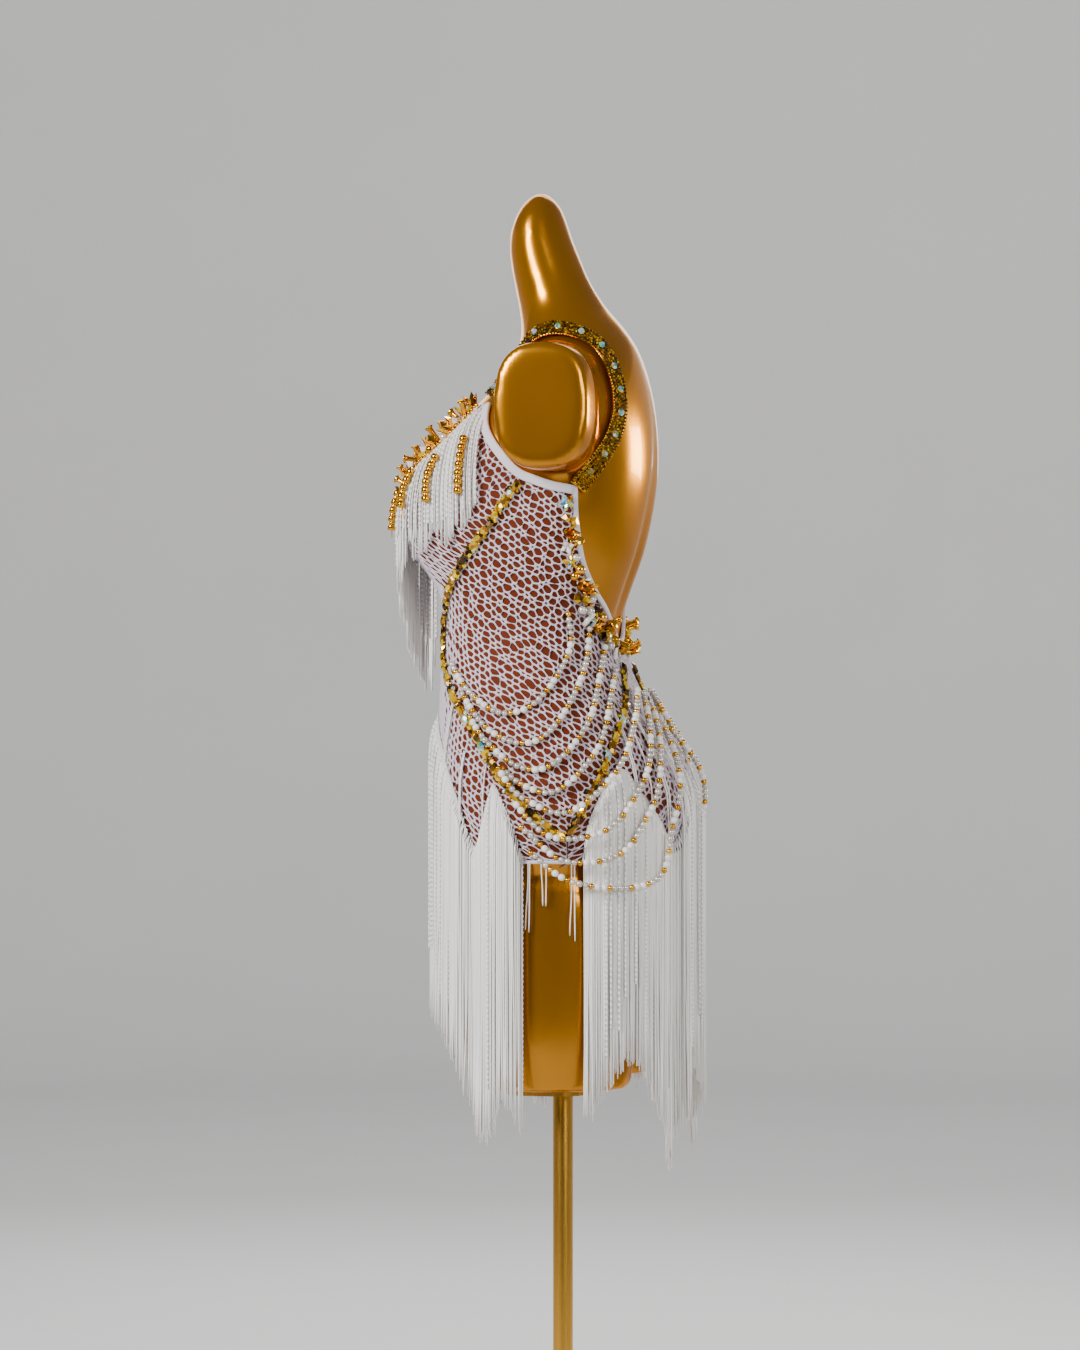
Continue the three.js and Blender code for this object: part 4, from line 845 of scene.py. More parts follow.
class Setting:
    """Collects copies of templates, then adds them as one piece for each side."""
    def __init__(self):
        self.parts = []

    def put(self, template, origins, up, along, sizes, material, tones):
        """Copies at origins: z axis up, x axis near along, sizes a number or (x, y, z) for each copy."""
        points, faces, smooth = template
        origins = np.atleast_2d(origins)
        up = unit(np.broadcast_to(up, origins.shape))
        x = unit(along - (along * up).sum(-1, keepdims=True) * up)
        axes = np.stack([x, np.cross(up, x), up], 1)
        sizes = np.asarray(sizes, float)
        sizes = sizes[:, None] if sizes.ndim == 1 and len(sizes) == len(origins) else sizes
        sizes = np.broadcast_to(sizes, (len(origins), 3))
        scaled = points[None] * sizes[:, None]
        self.parts.append((origins[:, None] + scaled @ axes, faces, smooth, material,
                           np.broadcast_to(np.asarray(tones, float), len(origins))))

    def loft(self, rings, material, tone):
        """One closed loft, such as a thread or a tape."""
        self.parts.append((rings.reshape(1, -1, 3), closed_loft(rings), True, material, np.array([tone])))
        return self

    def tube(self, run, radius, material):
        """A four-sided thread through points, turned by a fixed direction that no thread follows."""
        along = unit(np.gradient(run, axis=0))
        side = unit(np.cross(along, [0.31, 0.2, 0.93]))
        other = np.cross(along, side)
        turn = np.arange(4)[:, None] * np.pi / 2
        rings = run[:, None] + radius * (side[:, None] * np.cos(turn) + other[:, None] * np.sin(turn))
        return self.loft(rings, material, 0.5)

    def add(self, name, materials, slot, replaced=(), mirrored=False):
        """All the copies as one piece, with a material, a shading and a tone for each face."""
        points, faces, picks, smooth, tones, count = [], [], [], [], [], 0
        rng = np.random.default_rng(len(self.parts))
        for copies, template_faces, is_smooth, material, tone in self.parts:
            number, each = copies.shape[:2]
            starts = count + np.arange(number)[:, None, None] * each
            for group in template_faces:
                order = group[:, ::-1] if mirrored else group
                faces.append((order[None] + starts).reshape(-1, group.shape[1]))
                picks.append(np.full(len(faces[-1]), material))
                smooth.append(np.full(len(faces[-1]), is_smooth))
                plain = np.repeat(tone, len(group))
                # Flat-shaded facets get a random tone each: painted sparkle of light and shade.
                facets = 0 if is_smooth else rng.normal(0, FACET_GLINT_SPREAD, len(faces[-1]))
                tones.append(np.clip(plain + facets, 0, np.where(plain < WARM, WARM, 1)))
            points.append(copies.reshape(-1, 3))
            count += number * each
        points = np.vstack(points) * ([-1, 1, 1] if mirrored else [1, 1, 1])
        piece = add_piece(name, points, faces, materials, slot, picks=np.concatenate(picks),
                          attributes={"tone": np.concatenate(tones)})
        piece.data.polygons.foreach_set("use_smooth", np.concatenate(smooth))
        if replaced:
            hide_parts(*replaced)

    def add_pair(self, name, materials, slot, node=None):
        """The copies on the wearer's left, and their mirror image on the right."""
        for side, mirrored in (("left", False), ("right", True)):
            self.add(name + "_" + side, materials, slot, [node + "_" + side] if node else [], mirrored)

# %% [markdown]
# ## Pearl swags and gold strings
#
# A swag is strung in a repeat: gold, two milk-white beads, gold, then a small, a large and a small pearl.
# It follows the body and hangs free below the widest place of the hips, where the body curves back in.

# %% Hanging paths
# Two zones where the body curves back in, under the bust and below the hips: low, high, last angle.
ZONES = ((1066, 1240, -10), (780, 905, 90))
DROP = 60

def widest(angle, low, high):
    """For each angle, the height between two limits at which the body reaches out furthest."""
    out = outward(angle, np.full_like(angle, (low + high) / 2)) * [1, 1, 0]
    levels = np.arange(high, low - 1, -3.0)
    reach = (trunk(angle[:, None], levels[None]) * unit(out)[:, None] * [1, 1, 0]).sum(-1)
    return levels[reach.argmax(1)]

def hanging(angle, z, offset):
    """Places on the surface, or straight below the widest place above them."""
    at = z.astype(float).copy()
    for low, high, last_angle in ZONES:
        here = (z > low - DROP) & (z < high) & (angle <= last_angle)
        at[here] = np.maximum(z[here], widest(angle[here], low, high))
    points = skin(angle, at, np.full(len(at), float(offset)))
    points[:, 2] = z
    return points

SWAGS = [
    (7.2, [(30, 1040), (33, 1012), (20.5, 976), (-4.5, 941), (-24.5, 960), (-43, 993)]),
    (7.2, [(47, 1026), (43, 997), (26, 955), (2, 913), (-13, 923), (-33, 965)]),
    (7.4, [(60, 1008), (47, 973), (24.5, 918), (3, 887), (-14.5, 911), (-27, 942)]),
    (7.6, [(65, 985), (48, 950), (31, 904), (7, 865), (-5, 879), (-11, 893)]),
    (15, [(74, 965), (54, 928), (35.5, 882), (12, 846), (-2, 862), (-10, 890)]),
    (15.5, [(80, 962), (62, 920), (45.5, 867), (31, 830), (7, 824), (-5, 859)]),
    (16, [(81.5, 945), (61, 900), (49, 846), (37, 807), (12, 801), (-3, 835)]),
    (16.5, [(84, 926), (68, 886), (59, 840), (52, 781), (15, 781), (-1.5, 813)]),
]
REPEAT = [("gold", 5.2), ("opal", 7.2), ("opal", 7.2), ("gold", 5.2),
          ("pearl", 6.2), ("pearl", 6.8), ("pearl", 6.2)]
GOLD_WIDER, THREAD = 1.25, 0.45
UPWARDS = np.array([0.3, 0.2, 0.9])
SWAG_MATERIALS = [GOLD, PEARL, OPAL]
KIND = {"gold": 0, "pearl": 1, "opal": 2}

def strung(run, repeat, start):
    """Centres, directions, kinds and sizes of beads strung in a repeat along points."""
    length = np.concatenate([[0], np.cumsum(np.linalg.norm(np.diff(run, axis=0), axis=1))])
    names, sizes = zip(*repeat)
    count = int(length[-1] / np.mean(sizes))
    order = (np.arange(count) + start) % len(repeat)
    size = np.asarray(sizes)[order]
    at = np.cumsum(size) - size / 2
    order, size, at = (v[at < length[-1] - 1] for v in (order, size, at))
    centres = np.stack([np.interp(at, length, column) for column in run.T], -1)
    ahead = np.stack([np.interp(at + 1, length, column) for column in run.T], -1)
    behind = np.stack([np.interp(at - 1, length, column) for column in run.T], -1)
    return centres, unit(ahead - behind), np.array([KIND[n] for n in names])[order], size

for number, (offset, route) in enumerate(SWAGS, 1):
    rng = np.random.default_rng(100 + number)
    places, _ = body_path(route, 3)
    run = hanging(places[:, 0], places[:, 1], offset)
    run[1:-1] = (run[:-2] + 2 * run[1:-1] + run[2:]) / 4
    centres, along, kinds, sizes = strung(run, REPEAT, number * 3)
    swag = Setting().tube(run, THREAD, KIND["opal"])
    for kind in range(len(SWAG_MATERIALS)):
        here = kinds == kind
        wide = GOLD_WIDER if kind == KIND["gold"] else 1.0
        swag.put(BALL, centres[here], along[here], UPWARDS,
                 sizes[here, None] * [wide, wide, 1], kind, rng.random(here.sum()))
    swag.add_pair("pearls_%d" % number, SWAG_MATERIALS, "pearl", "pearl_swag_%d" % number)

# %% Gold strings
STRINGS = [
    [(-34.5, 1212), (-29.8, 1183), (-26.5, 1153)],
    [(-44.8, 1195), (-44.2, 1176), (-40.5, 1146)],
    [(-57.2, 1182), (-56.4, 1161), (-52.6, 1134)],
    [(-64, 1162), (-63.5, 1140), (-64.5, 1114)],
]
STRING_OUT, STRING_PITCH = 12.8, 8.6
STRING_THREAD, DRUM_SIZE, BETWEEN_SIZE = 0.5, (8.6, 8.6, 7.4), 6.0
# The small balls between the drums are painted pale gold, a painted highlight; the drums keep a deeper
# gold.
DRUM_TONE, BETWEEN_HIGHLIGHT_TONE = 0.35, 1.0
SIDEWAYS = np.array([1.0, 0, 0])
for number, route in enumerate(STRINGS, 1):
    places, _ = body_path(route, 2)
    run = hanging(places[:, 0], places[:, 1], STRING_OUT)
    centres, along, _, _ = strung(run, [("gold", STRING_PITCH)], 0)
    string = Setting().tube(run, STRING_THREAD, 0)
    string.put(DRUM, centres, along, SIDEWAYS, DRUM_SIZE, 0, DRUM_TONE)
    between = centres[1:] - along[1:] * STRING_PITCH / 2
    string.put(BALL, between, along[1:], SIDEWAYS, BETWEEN_SIZE, 0, BETWEEN_HIGHLIGHT_TONE)
    string.add_pair("gold_beads_%d" % number, [GOLD], "gold_trim", "gold_string_%d" % number)

# %% [markdown]
# ## Stones on the seams and the straps
#
# Long cut stones follow each curved seam, with small round ones and tiny gold beads filled in beside
# them. A tone for each stone chooses its coating, mostly gold, with a painted flash now and then: a white
# glint, green or blue. The strap has rows of small stones, which are darker.

# %% Stone lines
STONE_FRONT = [(-3.6, 1162), (-8, 1145), (-14.5, 1119), (-22.5, 1098), (-33.5, 1077), (-49.5, 1053),
               (-58, 1023), (-56, 993), (-43.5, 963), (-27, 929), (-17, 900), (-9, 872), (-0.5, 847),
               (7, 831), (11.6, 824)]
STONE_BACK = [(77, 982), (69, 962), (52.5, 933), (41.5, 909), (32, 881), (24.5, 858), (19, 839), (16, 829)]
STONE_MATERIALS = [CRYSTAL, GOLD]
GOLD_TONES, YELLOWEST = [0.2, 0.34, 0.46, 0.56, 0.64, 0.7], 0.72
# The flash tones are painted flashes: white glints, and the coating's green and blue.
FLASH_TONES, FLASH_SHARE = [0.8, 0.86, 0.9, 0.94, 0.975], 0.14
TAPE, TAPE_TOP = rounded_section(4.5, 3.1, 5.0, power=3, count=8), 5.0
POINTED_SHARE = 0.7
BESIDE, BESIDE_OUT, BEAD_BESIDE = 3.6, 4.7, 2.8

def gold_tones(rng, count, flashes, lift=0.0):
    """Tones for stones: dark olive to bright yellow, with a share of painted flashes: white glints, green
    or blue.
    """
    warm = np.minimum(rng.choice(GOLD_TONES, count) + lift, YELLOWEST)
    return np.where(rng.random(count) < flashes, rng.choice(FLASH_TONES, count), warm)

def on_path(places, rng, spread, out):
    """Points beside a path: moved across it by up to spread, at a height out from the body."""
    points, along, across, normal = path_frames(places)
    points = points + across * rng.uniform(-spread, spread, (len(points), 1)) + normal * out
    return points, along, across, normal

def stone_line(name, node, rows, seed, pitch, width, lift):
    """A tape along a seam with pointed and stepped stones on it, each turned and tilted a little, and
    with small round stones and gold beads in turn on both its sides. Lift makes the tones yellower."""
    rng = np.random.default_rng(seed)
    line = Setting()
    line.loft(sweep(body_path(rows, 4)[0], TAPE), 0, 0.3)
    places, _ = body_path(rows, pitch)
    points, along, across, out = on_path(places, rng, 0.8, TAPE_TOP)
    count = len(points)
    turn = unit(along + across * rng.uniform(-0.25, 0.25, (count, 1)))
    tilt = unit(out + across * rng.uniform(-0.3, 0.3, (count, 1))
                + along * rng.uniform(-0.2, 0.2, (count, 1)))
    pointed = rng.random(count) < POINTED_SHARE
    for shape, here in ((MARQUISE, pointed), (BAGUETTE, ~pointed)):
        number = here.sum()
        sizes = np.column_stack([rng.uniform(0.60, 0.70, number) * pitch,
                                 rng.uniform(0.85, 1.05, number) * width,
                                 rng.uniform(2.6, 3.3, number)])
        tones = gold_tones(rng, number, FLASH_SHARE, lift)
        line.put(shape, points[here], tilt[here], turn[here], sizes, 0, tones)
    for side in (-1, 1):
        points, along, across, out = on_path(places[1:], rng, 0.5, BESIDE_OUT)
        points = points + across * side * BESIDE - along * (pitch / 2 + side)
        line.put(CHATON, points[::2], out[::2] + across[::2] * side * 0.5, along[::2],
                 rng.uniform(2.0, 2.6, len(points[::2])), 0, gold_tones(rng, len(points[::2]), 0.15))
        line.put(BALL, points[1::2], out[1::2], along[1::2], BEAD_BESIDE, 1, rng.random(len(points[1::2])))
    line.add_pair(name, STONE_MATERIALS, "crystal", node)

stone_line("front_stones", "front_stone_line", STONE_FRONT, 21, 9.2, 4.4, 0.0)
stone_line("back_stones", "back_stone_line", STONE_BACK, 22, 12.0, 4.0, 0.14)

# %% Strap stones
STRAP_SHADE = 0.66
STRAP_COLUMNS, STRAP_REACH, STRAP_TOP = 6, 8.1, 5.8
GREEN_TONE, GREEN_SIZE = 0.9, 3.5

def strap_stones():
    """Rows of small dark gold stones across the strap, with larger green ones along its middle."""
    rng = np.random.default_rng(31)
    stones = Setting()
    points, along, across, out = path_frames(strap_path)
    for column, shift in enumerate(np.linspace(-STRAP_REACH, STRAP_REACH, STRAP_COLUMNS)):
        half = (points[:-1] + points[1:]) / 2
        base = points[:-1] if column % 2 else half
        where = base + across[:-1] * shift + out[:-1] * STRAP_TOP
        stones.put(SMALL_STONE, where, out[:-1], along[:-1], rng.uniform(1.45, 1.7, len(where)), 0,
                   STRAP_SHADE * gold_tones(rng, len(where), 0.0))
    big = slice(3, -1, 7)
    on_top = points[big] + out[big] * (STRAP_TOP + 0.5)
    stones.put(CHATON, on_top, out[big], along[big], GREEN_SIZE, 0, GREEN_TONE)
    stones.add_pair("strap_stones", STONE_MATERIALS, "gold_trim")

strap_stones()

# %% [markdown]
# ## Fringes
#
# A cord starts at its root on the net and slides straight down the slope of the body for as long as the
# body swells outwards. From there it hangs free to the hem: it leaves the body where the surface begins
# to face down. All the cords of a fringe take their steps together, as one array. They become thin tubes
# with four sides and soft shading.

# %% How a cord falls
FALL_STEP, MOST_STEPS = 3.0, 90
ROOT_OUT, SETTLES_IN = 3.4, 12
LEAVES = -0.02

def hem_at(rows):
    """The height of a hem as a function of the angle."""
    rows = np.array(sorted(map(tuple, rows)), float)
    return lambda angle: np.interp(angle, rows[:, 0], rows[:, 1])

def fall(angle, z, hem, offset, extra):
    """Cords from roots: (steps, cords, 3) points down the slope, then the free end at the hem.
    Turning per step = -(round . down) / (round . round), the direction of steepest descent.
    A cord moves out from its root to its offset over the first few centimetres."""
    angle, z = angle.astype(float).copy(), z.astype(float).copy()
    steps, on_body = [], np.ones(len(angle), bool)
    for number in range(MOST_STEPS):
        close = (offset - ROOT_OUT) * np.exp(-number * FALL_STEP / SETTLES_IN)
        steps.append(skin(angle, z, offset - close))
        on_body &= (z > hem(angle)) & (outward(angle, z)[:, 2] > LEAVES)
        if not on_body.any():
            break
        around = trunk(angle + 0.5, z) - trunk(angle - 0.5, z)
        down = trunk(angle, z - 1) - trunk(angle, z + 1)
        turn = -(around * down).sum(-1) / (around * around).sum(-1) * FALL_STEP / 2
        angle, z = np.where(on_body, angle + turn, angle), np.where(on_body, z - FALL_STEP, z)
    end = steps[-1].copy()
    end[:, 2] = np.minimum(end[:, 2] - 4, hem(angle) + extra)
    return np.array(steps + [end])

def resampled(lines, count, top_heavy=1.0):
    """Every cord at a number of places along it, closer at its top: (cords, count, 3), and its lengths."""
    lengths = np.linalg.norm(np.diff(lines, axis=0), axis=-1)
    run = np.concatenate([np.zeros((1, lines.shape[1])), np.cumsum(lengths, axis=0)])
    share = np.linspace(0, 1, count) ** top_heavy
    cords = [np.stack([np.interp(share * run[-1, i], run[:, i], lines[:, i, k]) for k in range(3)], -1)
             for i in range(lines.shape[1])]
    return np.array(cords), run[-1]

def cord_tubes(cords, radius, sides=4):
    """Rings of tubes: (cords, places, sides, 3), for a radius or one for each cord and place."""
    along = unit(np.gradient(cords, axis=1))
    middle = cords[:, :1] * [1, 1, 0] + [0, 0, 1e-6]
    across = unit(np.cross(along, unit(middle)))
    other = np.cross(along, across)
    turn = 2 * np.pi * (np.arange(sides) + 0.5) / sides
    radius = np.broadcast_to(radius, cords.shape[:2])[..., None, None]
    return cords[:, :, None] + radius * (across[:, :, None] * np.cos(turn)[:, None]
                                         + other[:, :, None] * np.sin(turn)[:, None])

TOP_HEAVY = 1.35
CORD_SWAY, TONE_SPREAD = 1.1, 0.12
CHAIN_RADIUS = 1.7

class Fringe:
    """Collects cords, then adds them as one piece with a map round and along each cord."""
    def __init__(self, seed):
        self.rng, self.parts = np.random.default_rng(seed), []

    def cords(self, angle, z, hem, offset, ragged, places=11, radius=0.75, bright=0.6, bundle=1, draw=0.0):
        """Plain cords with a little sway and a ragged end. A bundle draws together towards its end."""
        n, rng = len(angle), self.rng
        owner = np.arange(n) // bundle
        extra = rng.uniform(-ragged, ragged, owner[-1] + 1)[owner] + rng.uniform(-2, 2, n)
        lines = fall(angle, z, hem, offset + rng.uniform(-0.6, 0.6, n), extra)
        cords, length = resampled(lines, places, TOP_HEAVY)
        share = (np.linspace(0, 1, places) ** TOP_HEAVY)[None, :, None]
        sway_x, sway_y = rng.normal(0, CORD_SWAY, n), rng.normal(0, CORD_SWAY, n)
        sway = np.stack([sway_x, sway_y, np.zeros(n)], -1)[:, None]
        wave = np.sin(share * rng.uniform(3, 9, (n, 1, 1)) + rng.uniform(0, 6, (n, 1, 1)))
        cords = cords + sway * (share ** 2 + 0.35 * share * wave)
        centre = np.array([cords[owner == k].mean(0) for k in range(owner[-1] + 1)])[owner]
        cords = cords + (centre - cords) * draw * share ** 0.8
        taper = radius * np.where(share[..., 0] > 0.98, 0.75, 1.0)
        tone = np.clip(rng.normal(bright, TONE_SPREAD, (n, 1)), 0.3, 1)
        self.keep(cord_tubes(cords, taper), length, tone)

    def chains(self, angle, z, hem, offset, raise_end):
        """Bead chains: one ring in three is a bead's middle, wide and bright; the two between beads get
        painted shade.
        """
        for a, h, lift in zip(angle, z, self.rng.uniform(0.4, 1, len(angle)) * raise_end):
            lines = fall(np.array([a]), np.array([h]), hem, offset, np.array([lift]))
            length = np.linalg.norm(np.diff(lines[:, 0], axis=0), axis=-1).sum()
            pitch = self.rng.uniform(4.2, 5.8)
            places = max(8, int(length / (pitch / 3)))
            cords, length = resampled(lines, places)
            ring = np.arange(places)
            swell = CHAIN_RADIUS * (0.68 + 0.32 * np.cos(2 * np.pi * ring / 3))
            # The rings between beads are painted dark, as painted shade between the beads.
            tone = np.where(ring % 3, 0.22, 1.0)
            self.keep(cord_tubes(cords, swell[None]), length, tone[None])

    def keep(self, tubes, length, tone):
        """Stores tubes with their faces, their map and a tone for each cord or ring."""
        n, places, sides = tubes.shape[:3]
        along = np.linspace(0, 1, places)[None, :, None] * length[:, None, None]
        uv = np.stack(np.broadcast_arrays(np.arange(sides) * 1.0, along), -1)
        faces = [(f[None] + (np.arange(n) * places * sides)[:, None, None]).reshape(-1, f.shape[1])
                 for f in closed_loft(tubes[0])]
        tone = np.broadcast_to(tone, (n, places)).repeat(sides, axis=1)
        self.parts.append((tubes.reshape(-1, 3), faces, uv.reshape(-1, 2), tone.ravel()))

    def add(self, name, replaced, mirrored=False):
        """All the cords as one piece."""
        faces, count = [], 0
        for points, groups, _, _ in self.parts:
            faces += [(g[:, ::-1] if mirrored else g) + count for g in groups]
            count += len(points)
        points = np.vstack([p[0] for p in self.parts]) * ([-1, 1, 1] if mirrored else [1, 1, 1])
        piece = add_piece(name, points, faces, [FRINGE], "fringe", uv=np.vstack([p[2] for p in self.parts]),
                          attributes={"tone": np.concatenate([p[3] for p in self.parts])})
        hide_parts(*replaced)

# %% Hip fringes
HIP_ROOT_FRONT = [(-4.5, 803), (-7, 830), (-11, 856), (-14.5, 870), (-17.5, 858), (-21.5, 838),
                  (-30.5, 810), (-36.5, 848), (-47, 887), (-58, 915), (-72, 936), (-90, 925)]
HIP_ROOT_BACK = [(22.5, 803), (24, 830), (29.5, 855), (38, 882), (44, 882), (48.5, 864), (56, 838),
                 (62, 820), (68, 811), (71, 830), (74, 850), (78.5, 871), (84, 892), (90, 910)]
HEM_FRONT = [(-4, 533), (-6, 556), (-10.5, 573), (-17.5, 533), (-24, 537), (-32, 567), (-37, 605),
             (-53, 641), (-81, 652), (-90, 648)]
HEM_BACK = [(21, 561), (25, 556), (29.5, 575), (35, 589), (42, 612), (47, 602), (53.5, 567), (59, 536),
            (62, 500), (69, 536), (77, 566), (90, 619)]

# Single cords, as (angle, root height, end height).
STRAYS = [(-2.6, 800, 733), (-1.9, 800, 731), (2.2, 799, 757), (4.4, 799, 757), (16.8, 799, 726),
          (18.4, 799, 723), (-40.2, 957, 640), (-39.6, 955, 632), (-31.2, 904, 600), (-30.7, 903, 607),
          (-17.2, 895, 560)]
BACK_STRAYS = [(49.5, 940, 610), (50.2, 942, 604), (56, 950, 600), (62.5, 946, 575), (63.2, 944, 580),
               (69, 950, 560)]
# Layers of cords, as (count, offset, lift of the root, brightness). The inner layer lies behind the
# outer one and is painted darker, as painted shade.
HIP_LAYERS = ((300, 5.4, 3.0, 0.6), (400, 8.0, 0.0, 0.75))
CHAINS, CHAINS_OUT = 38, 10.4
HIP_RAGGED = 7.0

def hip_fringe(name, node, roots, hem, seed, strays):
    """Two layers of cords on a zigzag root line with bead chains over them, and single stray cords."""
    fringe = Fringe(seed)
    path, _ = body_path(both_sides(roots), 1.5)
    path, hems = path[np.argsort(path[:, 0])], hem_at(both_sides(hem))
    low, high = path[0, 0], path[-1, 0]
    rng = fringe.rng
    for count, offset, lift, bright in HIP_LAYERS:
        angle = np.linspace(low, high, count) + rng.uniform(-0.12, 0.12, count)
        root = np.interp(angle, path[:, 0], path[:, 1]) + lift
        fringe.cords(angle, root, hems, offset, HIP_RAGGED, bright=bright)
    angle = np.linspace(low + 1, high - 1, CHAINS) + rng.uniform(-1.5, 1.5, CHAINS)
    fringe.chains(angle, np.interp(angle, path[:, 0], path[:, 1]), hems, CHAINS_OUT, 75)
    for angle, root, end in strays:
        level = hem_at([(-180, end), (180, end)])
        for side in (angle, -180 - angle):
            fringe.cords(np.array([side]), np.array([root]), level, 5.0, 1.0, places=12)
    fringe.add(name, [node])

hip_fringe("fringe_front", "hip_fringe_front", HIP_ROOT_FRONT, HEM_FRONT, 41, STRAYS)
hip_fringe("fringe_back", "hip_fringe_back", HIP_ROOT_BACK, HEM_BACK, 42, BACK_STRAYS)

# %% Bust fringes
NECK_HEM = [(-90, 953), (-80, 985), (-73, 1020), (-63, 1075), (-48.5, 1100), (-42.5, 1107), (-33, 1115),
            (-26, 1132), (-18, 1148)]
FRINGE_ROOT = [(-84, 1110)] + NECKLINE[2:-1] + [(-43, 1239), (-33, 1231)]
# Layers of cords, as (count, offset, brightness, ragged end). The inner layer lies behind the outer one
# and is painted darker, as painted shade.
NECK_LAYERS = ((115, 5.2, 0.65, 15.0), (105, 7.2, 0.85, 13.0))
NECK_CHAINS, NECK_CHAINS_OUT = 30, 8.8

def neck_roots(count, shift):
    """Places just below the neckline and beside the strap, evenly spaced, lowered by a shift."""
    path, _ = body_path(FRINGE_ROOT, 1.5)
    index = np.linspace(0, len(path) - 1, count).astype(int)
    return path[index, 0], path[index, 1] - shift

def neck_fringe(mirrored):
    """Two layers of cords in small bundles below the neckline, with bead chains over them."""
    fringe = Fringe(51)
    hems = hem_at(NECK_HEM)
    for count, offset, bright, ragged in NECK_LAYERS:
        angle, z = neck_roots(count, 3.0)
        fringe.cords(angle, z, hems, offset, ragged, radius=0.7, bright=bright, bundle=4, draw=0.35)
    angle, z = neck_roots(NECK_CHAINS, 1.0)
    fringe.chains(angle, z, hems, NECK_CHAINS_OUT, 50)
    side = "right" if mirrored else "left"
    fringe.add("fringe_neck_" + side, ["neck_fringe_" + side], mirrored)

for mirrored in (False, True):
    neck_fringe(mirrored)

# %% [markdown]
# ## Bead clusters
#
# The neckline and the low back are edged with clusters: gold tulips and bugles that stand up in all
# directions, milk-white petals, pearls, square yellow stones and flowers of five coated stones.

# %% Clusters
CLUSTER_MATERIALS = [CRYSTAL, GOLD, PEARL, OPAL]

# For each kind: its template, the limits of its size, its material and how far it leans.
BEAD_KINDS = {
    "tulip": (TULIP, 1.3, 1.7, 1, 0.7), "petals": (WHITE_PETALS, 1.3, 1.7, 3, 0.5),
    "bugle": (BUGLE, 1.15, 1.45, 1, 0.8), "gold": (BIG_BALL, 8.8, 10.6, 1, 0.1),
    "pearl": (BIG_BALL, 8.0, 9.8, 2, 0.1), "white": (TUBE_BEAD, 1.5, 1.8, 3, 3.0),
    "square": (SQUARE_STONE, 4.8, 5.8, 0, 0.3), "dark": (BAGUETTE, 3.6, 4.4, 0, 0.4),
    "olive": (MARQUISE, 5.2, 6.2, 0, 0.4), "seed": (BALL, 3.4, 4.2, 1, 0.0)}
TONES = {"square": 0.68, "dark": 0.05, "olive": 0.3}
BEADS_OUT, FLOWERS_OUT = 6.4, 6.0

def directions(rng, count, along, across, out, lean, rise):
    """Directions near the surface's outward one, leaning to all sides and rising beyond the edge."""
    sideways = rng.uniform(-lean, lean, (2, count, 1))
    return unit(out + across * (sideways[0] + rise) + along * sideways[1])

def crystal_flower(beads, rng, spot, along, across, out):
    """Five pointed stones round a place, each with its own tone: gold or a painted flash."""
    turn = rng.uniform(0, 2 * np.pi) + 2 * np.pi * np.arange(5)[:, None] / 5
    spoke = along * np.cos(turn) + across * np.sin(turn)
    sizes = np.column_stack([rng.uniform(4.2, 5.2, 5), rng.uniform(2.3, 2.9, 5), np.full(5, 2.4)])
    beads.put(MARQUISE, spot + spoke * 4.4 + out, unit(out + spoke * 0.35), spoke, sizes, 0,
              rng.choice([0.3, 0.5, 0.64, 0.7, 0.85, 0.9, 0.95], 5))
    beads.put(CHATON, spot + out * 1.4, out, along, [2.2], 0, [0.66])

def cluster(name, node, rows, columns, seed, rise):
    """Beads set one after another along columns beside a path. A column is its distance across the path,
    its share of the path, its pitch and the kinds of bead that follow each other on it."""
    rng = np.random.default_rng(seed)
    beads = Setting()
    path, run = body_path(rows, 1)
    frames = path_frames(path)
    for shift, first, last, pitch, kinds in columns:
        kinds = kinds.split()
        at = np.arange(first * run[-1], last * run[-1], pitch)
        index = np.clip(at + rng.uniform(-0.12, 0.12, len(at)) * pitch, 0, len(path) - 1).astype(int)
        points, along, across, out = (values[index] for values in frames)
        points = points + across * (shift + rng.uniform(-0.8, 0.8, (len(at), 1)))
        order = np.arange(len(at)) % len(kinds)
        for number, kind in enumerate(kinds):
            here = np.flatnonzero(order == number)
            if kind == "flower":
                for i in here:
                    spot = points[i] + out[i] * FLOWERS_OUT
                    crystal_flower(beads, rng, spot, along[i], across[i], out[i])
                continue
            template, low, high, material, lean = BEAD_KINDS[kind]
            up = directions(rng, len(here), along[here], across[here], out[here], lean, rise)
            sizes = rng.uniform(low, high, len(here))
            tones = np.full(len(here), TONES[kind]) if kind in TONES else rng.random(len(here))
            spots = points[here] + out[here] * BEADS_OUT
            beads.put(template, spots, up, along[here] + 0.3 * across[here], sizes, material, tones)
    beads.add_pair(name, CLUSTER_MATERIALS, "gold_trim", node)

NECK_BEADING = [(-88, 1103)] + NECKLINE[1:]
NECK_COLUMNS = [
    (1.5, 0.0, 1.0, 6.2, "tulip petals tulip gold bugle bugle petals gold tulip bugle"),
    (-1.0, 0.02, 1.0, 9.5, "gold tulip pearl tulip petals bugle square"),
    (-3.0, 0.0, 1.0, 3.6, "seed"),
]
BACK_BEADING = [(20.2, 1151), (20.8, 1129), (24, 1100), (32, 1074), (44, 1049), (58, 1029), (72, 1010),
                (81, 998)]
BACK_COLUMNS = [
    (-3.6, 0.03, 1.0, 14.0, "flower olive tulip petals flower gold tulip square pearl flower bugle"),
    (3.6, 0.12, 0.93, 12.5, "square gold bugle pearl gold white tulip pearl dark gold bugle"),
    (-9.5, 0.5, 0.95, 13.5, "olive pearl white tulip"),
    (0.4, 0.2, 1.0, 5.0, "seed"),
    (4.0, 0.9, 1.0, 16.0, "bugle"),
]
